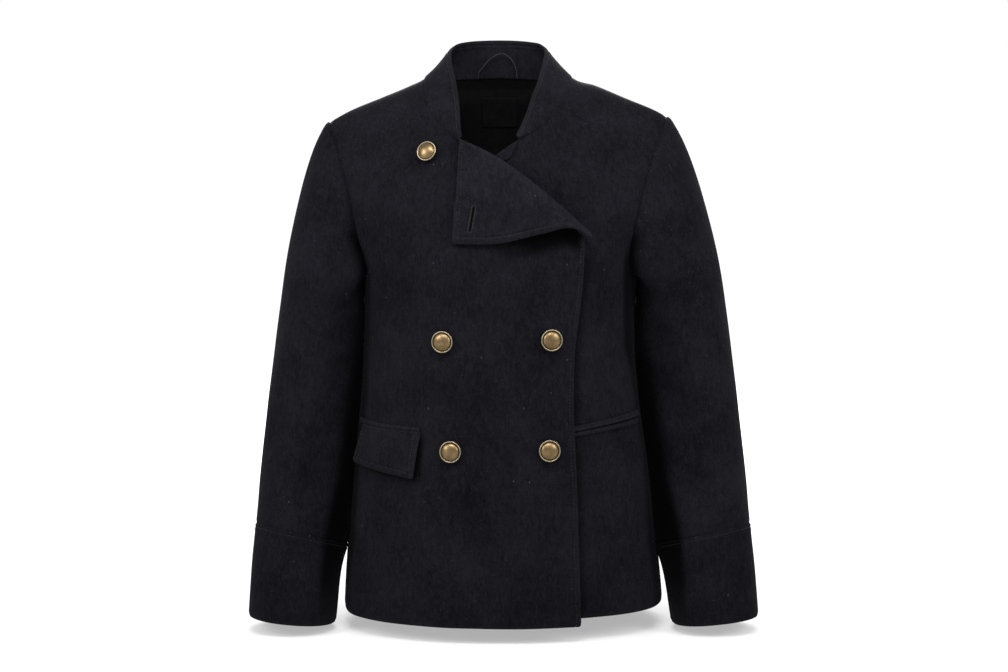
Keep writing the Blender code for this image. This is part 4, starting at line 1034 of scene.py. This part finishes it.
def sleeve_rings(table, side, heights, angles):
    """Rings across the arm's line, drawn in to the body's side."""
    rings = []
    cos, sin = np.cos(angles), np.sin(angles)
    p = 2 / 2.2
    for z in heights:
        above, below = min(z + 0.004, ARM[0, 0]), max(z - 0.004, ARM[-1, 0])
        lean = ARM_LEAN[0] + (ARM_LEAN[1] - ARM_LEAN[0]) * ease(-z, 0.54, 0.60)
        line = unit((arm_centre(side, below) - arm_centre(side, above)) * (1, lean, 1))
        inward = unit(np.array([-side, 0.0, 0.0]) - line * (-side * line[0]))
        forward = unit(np.array([0.0, -1.0, 0.0]) + line * line[1])
        hollow = read(ARM_HOLLOW, z) * (cos > 0) * (sin > 0)
        across = read(table, z, 3) * np.sign(cos) * np.abs(cos) ** (p + hollow * (1 - np.clip(cos, 0, 1) ** 12))
        across = across + read(ARM_REACH[side], z) * np.clip(cos, 0, 1) ** 8
        slant = CUFF_SLANT * hump(z - CUFF[0, 0], SLANT_REACH)
        rings.append(arm_centre(side, z) + np.outer(across, inward + slant * line)
                     + np.outer(read(table, z, 4) * np.sign(sin) * np.abs(sin) ** p, forward))
    return beside_body(np.array(rings), side)


def ring_normals(grid):
    wrap = np.concatenate([grid[:, -1:], grid, grid[:, :1]], 1)
    normal = unit(np.cross(wrap[:, 2:] - wrap[:, :-2], np.gradient(grid, axis=0)))
    return normal * np.sign(np.sum(normal * (grid - grid.mean(1, keepdims=True))))


def loop_angles(side):
    points = LOOPS[side][0]
    steps = np.linalg.norm(np.roll(points, -1, 0) - points, axis=1)
    share = np.r_[0, np.cumsum(steps)[:-1]]
    half = share[ROWS_ARM]
    return np.where(np.arange(len(points)) <= ROWS_ARM, math.pi * share / half,
                    math.pi + math.pi * (share - half) / (steps.sum() - half))


def sleeve_seam_lines(angles):
    """Dips along the two seams of a sleeve, by angle."""
    gaps = [np.abs((angles / math.pi - at + 1) % 2 - 1) * math.pi * 0.055 for at in SLEEVE_SEAMS]
    return sum(seam_dip(gap, 0.0007, 0.0022) for gap in gaps)[None, :]


def arm_shade(outer, angles):
    """Painted shade in the cleft between an arm and the body, where no light gets in."""
    reach, depth = (read(ARM_PAINTED_SHADE, outer[..., 2], k, straight) for k in (1, 2))
    return ease(np.cos(angles)[None, :] - reach, 0.0, 0.16) * depth


def sleeve(side):
    points, shared, start, tangent = LOOPS[side]
    angles = loop_angles(side)
    rings = sleeve_rings(SLEEVE, side, np.linspace(SLEEVE[0, 0], SLEEVE[-1, 0], ROWS_SLEEVE + 1), angles)
    reach = np.linalg.norm(rings[0] - points, axis=1, keepdims=True)
    outside = np.clip(-np.cos(angles), 0, 1)
    leave = unit(start - outside[:, None] ** 6 * (0.0, 0.0, 0.62)) * np.minimum(0.045, 0.9 * reach)
    arrive = unit(rings[1] - rings[0]) * reach * 0.95
    cap = []
    for t in even(ROWS_CAP)[:-1]:
        row = ((1 + 2 * t) * (1 - t) ** 2 * points + t * (1 - t) ** 2 * leave
               + t * t * (3 - 2 * t) * rings[0] + t * t * (t - 1) * arrive)
        row[:, 0] += side * CAP_FULL * 16 * (t * (1 - t)) ** 2 * outside
        cap.append(row)
    outer = np.concatenate([np.array(cap), rings])
    normals = ring_normals(outer)
    normals[0] = shared
    outer[0] += unit(facing(np.cross(unit(shared), tangent), start)) * SEAM
    inner = outer - normals * WALL
    from_arm, from_cuff, z = margin(outer, "bottom"), margin(outer, "top"), outer[..., 2]
    turns = angles[None, :] / math.pi
    s = ((turns + 0.3) % 2 - 0.3) * SLEEVE_TURN
    free = ease(from_arm, 0.010, 0.06) * ease(from_cuff, 0.002, 0.03)
    soft = creases(s, z, SLEEVE_CREASES[side], SLEEVE_TURN) * free
    wave = 0.0006 * np.sin(5 * angles[None, :] + 31 * z) + 0.0005 * np.sin(3 * angles + 2)[None, :]
    high = ease(turns, 0.45, 0.75) * (1 - ease(turns, 1.25, 1.5))
    eased_in = np.sin(46 * angles + 1.5 * np.sin(7 * angles))[None, :]
    lift = soft + wave * free
    lift += high * (0.0005 * hump(from_arm - 0.006, 0.005) + 0.00022 * eased_in * hump(from_arm - 0.004, 0.006))
    lift -= seam_dip(from_arm, 0.0018, 0.0015) + sleeve_seam_lines(angles) * ease(from_arm, 0.0, 0.01)
    lift -= seam_dip(from_cuff, 0.0006, 0.0015)
    moved = unit(outer - inner)
    outer = outer + moved * lift[..., None]
    inner = inner + moved * soft[..., None]
    pushed = beside_body(outer[ROWS_CAP:], side) - outer[ROWS_CAP:]
    outer[ROWS_CAP:] += pushed
    inner[ROWS_CAP:] += pushed
    node = "sleeve_right" if side < 0 else "sleeve_left"
    # Painted shade along the lower front of the armhole seam.
    armhole_painted_shade = hump(from_arm, 0.011) * ease(-outer[..., 2], 0.160, 0.190)
    obj = shell(node, outer, inner, (WOOL, LINING), ring=True, lined=1, bulge=0.25,
                shade=np.maximum(arm_shade(outer, angles), armhole_painted_shade))
    fit(obj, node)


def cuff(side):
    angles = loop_angles(side)
    steps = np.r_[np.linspace(0, 0.12, 9), np.linspace(0.12, 1, ROWS_CUFF - 7)[1:]]
    outer = sleeve_rings(CUFF, side, CUFF[0, 0] + (CUFF[-1, 0] - CUFF[0, 0]) * steps, angles)
    normals = ring_normals(outer)
    outer[0] += unit(outer.mean(1)[5] - outer.mean(1)[0]) * SEAM
    inner = outer - normals * EDGE_WALL
    head, hem = margin(outer, "bottom"), margin(outer, "top")
    lift = 0.0008 * np.sin(3 * angles[None, :] + 14 * outer[..., 2] + side) * ease(head, 0.0, 0.05)
    lift += stitched(head, 0.0042, 0.0005, 0.0004) - rolled(head, EDGE_WALL) * 0.8 - rolled(hem, EDGE_WALL)
    outer = raised(outer, inner, lift - sleeve_seam_lines(angles))
    node = "cuff_right" if side < 0 else "cuff_left"
    obj = shell(node, outer, inner, (WOOL_CUFF_PAINTED_SHADE, LINING), ring=True, lined=margin(inner, "top") > 0.030, bulge=0.4,
                rub=hump(hem, 0.003), shade=arm_shade(outer, angles))
    fit(obj, node)
    return outer


# ---------------------------------------------------------------- pockets
def pocket_piece(name, corners, cols, rows, gap_top, gap_bottom, thickness, free, under):
    """A piece lying on the front: its free sides are rolled, and those of the flap are stitched."""
    ul, ur, lr, ll = corners
    flap = name == "pocket_flap"
    u, v = even(cols)[None, :, None], even(rows)[:, None, None]
    grid = (ul * (1 - u) + ur * u) * (1 - v) + (ll * (1 - u) + lr * u) * v
    turn = turn_at(grid[..., 0], grid[..., 1])
    lay, out = form(turn, grid[..., 1], under=under), body_normal(turn, grid[..., 1])
    gap = gap_top + (gap_bottom - gap_top) * v ** 1.4
    if flap:
        gap = gap + FLAP_BOW * np.sin(math.pi * u) * v + FLAP_LEAN * u ** 5 * ease(v, 0.0, 0.5)
    inner, outer = lay + out * gap, lay + out * (gap + thickness)
    margins = [margin(outer, side) for side in free]
    lift = np.zeros(outer.shape[:2])
    for distance in margins:
        lift += (stitched(distance, FLAP_STITCH) if flap else 0) - rolled(distance, thickness)
    outer = outer + out * lift[..., None]
    near = np.min([margin(outer, side) for side in free], 0)
    fit(shell(name, outer, inner, (WOOL_FOLD, LINING), rub=hump(near, 0.003)), name)
    return outer


# ---------------------------------------------------------------- buttons
def button(name, x, z, size):
    """A domed shank button: a turned profile with a raised bead round its rim."""
    profile = [(DOME_RADIUS * math.sin(a), DOME_FOOT + (DOME_TOP - DOME_FOOT) * math.cos(a) ** 1.15)
               for a in np.linspace(0, math.pi / 2, 15)]
    profile += [(0.0100, 0.00565), (0.01030, 0.00560)]
    profile += [(RIM_RADIUS + RIM_BEAD * math.cos(a), RIM_MIDDLE + RIM_BEAD * math.sin(a))
                for a in np.linspace(-2.6, 1.9, 12)[::-1]]
    profile += [(0.0108, 0.0044), (0.0090, 0.0038), (SHANK + 0.0006, 0.0034), (SHANK, 0.0028),
                (SHANK, SHANK_FOOT), (0.0, SHANK_FOOT)]
    mesh = bpy.data.meshes.new(name)
    verts = [(r * size, 0.0, h * (size if h > 0.001 else 1.0)) for r, h in profile]
    mesh.from_pydata(verts, [(k, k + 1) for k in range(len(verts) - 1)], [])
    obj = bpy.data.objects.new("look_" + name, mesh)
    bpy.context.scene.collection.objects.link(obj)
    turned = obj.modifiers.new("turned", "SCREW")
    turned.axis = "Z"
    turned.steps = turned.render_steps = 72
    turned.use_merge_vertices = True
    turned.merge_threshold = 0.00002
    bpy.context.view_layer.update()
    solid = bpy.data.meshes.new_from_object(obj.evaluated_get(bpy.context.evaluated_depsgraph_get()))
    obj.modifiers.clear()
    obj.data = solid
    co = np.array([v.co for v in solid.vertices])
    r, h = np.hypot(co[:, 0], co[:, 1]) / size, co[:, 2] / size
    point_values(solid, "groove", hump(r - 0.01015, 0.00050) * (h > 0.0045) + 0.9 * (h < 0.0052))
    point_values(solid, "rim", ease(r, 0.0103, 0.0107) * (h > 0.0052))
    solid.materials.clear()
    solid.materials.append(BRASS)
    solid.polygons.foreach_set("use_smooth", [True] * len(solid.polygons))
    turn = turn_at(np.array(x), np.array(z))
    spin = Vector(body_normal(turn, np.array(z))).to_track_quat("Z", "Y").to_matrix().to_4x4()
    spin.translation = Vector(body(turn, z))
    solid.transform(spin)
    face_outward(obj)
    fit(obj, name)


# ---------------------------------------------------------------- thread and cord
def rods(name, rods_rings, finish):
    """Closed rods, each given as its rings of points."""
    verts, faces = [], []
    for rings in rods_rings:
        o = len(verts)
        count, sides = rings.shape[:2]
        verts += rings.reshape(-1, 3).tolist()
        for i in range(count - 1):
            for m in range(sides):
                q = (m + 1) % sides
                faces.append((o + i * sides + m, o + i * sides + q, o + (i + 1) * sides + q, o + (i + 1) * sides + m))
        faces.append(tuple(o + m for m in reversed(range(sides))))
        faces.append(tuple(o + (count - 1) * sides + m for m in range(sides)))
    obj = mesh_piece(name, verts, faces, [finish])
    face_outward(obj)
    return obj


def circle(sides):
    angle = 2 * math.pi * np.arange(sides) / sides
    return np.cos(angle)[:, None], np.sin(angle)[:, None]


def beads(name, centres, ways, outs, length, radius, finish):
    """Stitches: small rounded lengths of thread, each along its way and pressed flat on the cloth."""
    across = unit(np.cross(ways, outs))
    outs = unit(np.cross(across, ways))
    t = np.linspace(-1, 1, 5)[:, None, None]
    r = radius * np.sqrt(np.maximum(0.06, 1 - np.abs(t) ** 3))
    cos, sin = circle(6)
    stitches = [centre + way * (t * length / 2) + side * r * cos + out * (r * 0.75 * sin - radius * 0.9 * np.abs(t) ** 3)
                for centre, way, side, out in zip(centres, ways, across, outs)]
    fit(rods(name, stitches, finish))


def side_stitches(name, grid, side, distance, keep=slice(None), closed=False, away=(0, 0, 0)):
    """A row of stitches at a distance from one side of a piece's outer face; away is a point inside the coat."""
    axis, end = SIDES[side]
    normals = ring_normals(grid) if closed else unit(np.cross(np.gradient(grid, axis=1), np.gradient(grid, axis=0)))
    if axis == 0:
        grid, normals = np.swapaxes(grid, 0, 1), np.swapaxes(normals, 0, 1)
    grid = grid[keep][:, ::-1] if end else grid[keep]
    line = np.array([at_lengths(run_of(row), row, [distance])[0] for row in grid])
    outs = facing(normals[keep][:, -5 if end else 4], line - away)
    if closed:
        line, outs = np.vstack([line, line[:1]]), np.vstack([outs, outs[:1]])
    run = run_of(line)
    count = int(run[-1] / (STITCH + STITCH_GAP))
    at = (np.arange(count) + 0.5) * run[-1] / count + RNG.uniform(-0.0001, 0.0001, count)
    out = unit(at_lengths(run, outs, at))
    ways = unit(at_lengths(run, line, at + 0.0008) - at_lengths(run, line, at - 0.0008))
    beads(name, at_lengths(run, line, at) + out * THREAD * 0.25, ways, out, STITCH, THREAD, THREAD_FINISH)


def on_cloth(tree, spot):
    """The face of the cloth seen straight from the front at a place across and a height: point and normal."""
    point, normal, _, _ = tree.ray_cast(Vector((spot[0], -0.6, spot[1])), Vector((0, 1, 0)))
    return np.array(point), np.array(-normal if normal.y > 0 else normal)


def buttonhole(grid):
    """The lapel's buttonhole: a purled edge of thread round the slit, and a near-black sheet in the slit as painted
    shadow.
    """
    rows, cols = grid.shape[:2]
    faces = [(i * cols + j, i * cols + j + 1, (i + 1) * cols + j + 1, (i + 1) * cols + j)
             for i in range(rows - 1) for j in range(cols - 1)]
    tree = BVHTree.FromPolygons(grid.reshape(-1, 3).tolist(), faces)
    head, foot = LAPEL_HOLE
    way = unit(foot - head)
    cross = np.array([-way[1], way[0]])
    half, purl = 0.0011, 0.0019
    track = []
    for sign, near, far in ((1, head, foot), (-1, foot, head)):
        track += [(near + (far - near) * t + cross * half * sign, cross * sign) for t in np.linspace(0, 1, 30)]
        for a in np.linspace(0, math.pi, 8)[1:-1]:
            out = sign * (cross * math.cos(a) + way * math.sin(a))
            track.append((far + out * half * 1.3, out))
    centres, ways, outs = [], [], []
    for spot, out in track:
        a, normal = on_cloth(tree, spot + out * purl * 0.1)
        b, _ = on_cloth(tree, spot + out * purl)
        centres.append((a + b) / 2 + normal * 0.0001)
        ways.append(unit(b - a))
        outs.append(normal)
    beads("buttonhole_purl", np.array(centres), np.array(ways), np.array(outs), purl, 0.00042, HOLE_THREAD)
    # The sheet in the slit, near black: painted shadow.
    verts, faces = [], []
    for t in np.linspace(-0.02, 1.02, 24):
        for s in (-1, -0.4, 0.4, 1):
            point, normal = on_cloth(tree, head + (foot - head) * t + cross * half * 0.8 * s)
            verts.append(point + normal * (0.00016 if abs(s) < 0.9 else 0.0001))
    for i in range(23):
        faces += [(i * 4 + j, i * 4 + j + 1, i * 4 + j + 5, i * 4 + j + 4) for j in range(3)]
    fit(mesh_piece("buttonhole_slit", verts, faces, [SLIT_SHADOW]))


def hanging_loop():
    """A braided cord: three plies wound round its line."""
    path = along(LOOP, even(150))
    way = slope(path)
    side = unit(np.cross(way, (0.0, 1.0, 0.0)))
    lift = np.cross(side, way)
    radius, swing = 0.00042, 0.00040
    cos, sin = circle(8)
    plies = []
    for ply in range(3):
        angle = (run_of(path) * 1150 + ply * 2 * math.pi / 3)[:, None]
        line = path + side * swing * np.cos(angle) + lift * swing * np.sin(angle)
        plies.append(line[:, None] + radius * (side[:, None] * cos + lift[:, None] * sin))
    fit(rods("hanging_loop", plies, CORD_FINISH), "hanging_loop")


# ---------------------------------------------------------------- cloth inside the neck
def back_patch(name, turns, heights, cols, rows, gap, thickness, finish, wave=0.0, sewn=0.0):
    turn = np.linspace(*turns, cols + 1)[None, :] + np.zeros((rows + 1, 1))
    high = np.minimum(heights[0], ridge(body(turn[0], -0.04)[:, 0]) - 0.020)
    v = even(rows)[:, None]
    z = high[None, :] * (1 - v) + heights[1] * v
    lay, out = body(turn, z), body_normal(turn, z)
    s = turn * TURN_LENGTH
    ripple = wave * (np.sin(97 * s + 13 * z) * 0.6 + np.sin(41 * s - 37 * z + 1) * 0.4) * ease(v, 0.05, 0.4)
    gap = (gap + ripple - sewn * (1 - ease(v, 0.0, 0.10)))[..., None]
    fit(shell(name, lay - out * gap, lay - out * (gap + thickness), (finish,)), name)


# ---------------------------------------------------------------- the coat
CENTRE = (0.0, 0.0, -0.35)
right_cloth = front_panel(-1)
front_panel(1)
back_panel()
lapel_cloth, collar_cloth = lapel(), collar()
under_lapel()
cuffs = {}
for side in (-1, 1):
    sleeve(side)
    cuffs[side] = cuff(side)
flap_cloth = [pocket_piece(*row) for row in POCKETS][0]
for row in BUTTONS:
    button(*row)
back_patch("back_lining", (1.46, 2.54), (-0.0125, -0.2200), 90, 60, WALL + 0.0013, 0.0008, LINING,
           wave=0.0006, sewn=0.0024)
back_patch("neck_label", (1.946, 2.077), (-0.0262, -0.0602), 24, 20, WALL + 0.0028, 0.0005, LABEL_CLOTH)
hanging_loop()

side_stitches("stitch_front_edge", right_cloth, "right", 0.0055, slice(0, -3), away=CENTRE)
side_stitches("stitch_lapel_edge", lapel_cloth, "top", 0.0065, slice(4, -2), away=CENTRE)
side_stitches("stitch_lapel_side", lapel_cloth, "left", 0.0062, slice(14, -4), away=CENTRE)
side_stitches("stitch_collar", collar_cloth, "top", 0.0045, away=(0.0, 0.0, -0.05))
side_stitches("stitch_flap_right", flap_cloth, "right", FLAP_STITCH, slice(1, -5), away=CENTRE)
side_stitches("stitch_flap_left", flap_cloth, "left", FLAP_STITCH, slice(1, -5), away=CENTRE)
side_stitches("stitch_flap_low", flap_cloth, "top", FLAP_STITCH, slice(4, -4), away=CENTRE)
for side, word in ((-1, "right"), (1, "left")):
    side_stitches("stitch_cuff_" + word, cuffs[side], "bottom", 0.0042, closed=True, away=cuffs[side].mean((0, 1)))
buttonhole(lapel_cloth)

# ---------------------------------------------------------------- room, light, camera
FLOOR, FLOOR_HALF = -0.6310, 30.0


def put(name, data, place=(0.0, 0.0, 0.0), aim=None):
    obj = bpy.data.objects.new(name, data)
    obj.location = place
    if aim:
        obj.rotation_euler = (Vector(aim) - Vector(place)).to_track_quat("-Z", "Y").to_euler()
    bpy.context.scene.collection.objects.link(obj)
    return obj


def floor():
    mesh = bpy.data.meshes.new("floor")
    corners = ((-1, -1), (1, -1), (1, 1), (-1, 1))
    mesh.from_pydata([(x * FLOOR_HALF, y * FLOOR_HALF, FLOOR) for x, y in corners], [], [(0, 1, 2, 3)])
    finish = Finish("pale_floor", Roughness=0.95, Specular_IOR_Level=0.0)
    # The floor glows evenly, painted light that whitens it and lightens the shadows on it; its colour is darker near
    # the coat, a painted shadow round the coat.
    near = finish.node("ShaderNodeTexGradient", {"gradient_type": "SPHERICAL"},
                       {"Vector": finish.scaled(0.35, 0.35, 0.35)}, 1).clamp(0.35, 0.70)
    finish.set("Base Color", finish.mix(near, (0.66, 0.66, 0.66), (0.37, 0.37, 0.37)))
    finish.set("Emission Color", (1.0, 1.0, 1.0))
    finish.set("Emission Strength", 0.405)
    mesh.materials.append(finish.material)
    put("floor", mesh)


def softbox(name, place, aim, width, height, power):
    data = bpy.data.lights.new(name, "AREA")
    data.shape, data.size, data.size_y, data.energy = "RECTANGLE", width, height, power
    put(name, data, place, aim)


def camera():
    data = bpy.data.cameras.new("camera")
    data.sensor_width, data.lens = 36.0, 80.745
    data.clip_end = 100
    bpy.context.scene.camera = put("camera", data, (0.00115, -2.58329, -0.00567), (0.00115, 0.0, -0.3000))


floor()
camera()
softbox("box_left", (-1.5, -1.1, 0.65), (0, 0, -0.2), 0.7, 0.9, 27)
softbox("box_right", (1.5, -1.1, 0.65), (0, 0, -0.2), 0.7, 0.9, 24)
softbox("box_top", (0, -1.0, 0.95), (0, 0, -0.15), 1.1, 0.5, 24)
softbox("box_back", (0, 1.6, 0.7), (0, 0, -0.3), 1.4, 0.8, 60)
world = bpy.data.worlds.new("studio")
world.use_nodes = True
world.node_tree.nodes["Background"].inputs["Color"].default_value = (1.0, 1.0, 1.0, 1.0)
world.node_tree.nodes["Background"].inputs["Strength"].default_value = 1.0
bpy.context.scene.world = world
bpy.context.scene.view_settings.view_transform = "Standard"

bpy.context.view_layer.update()
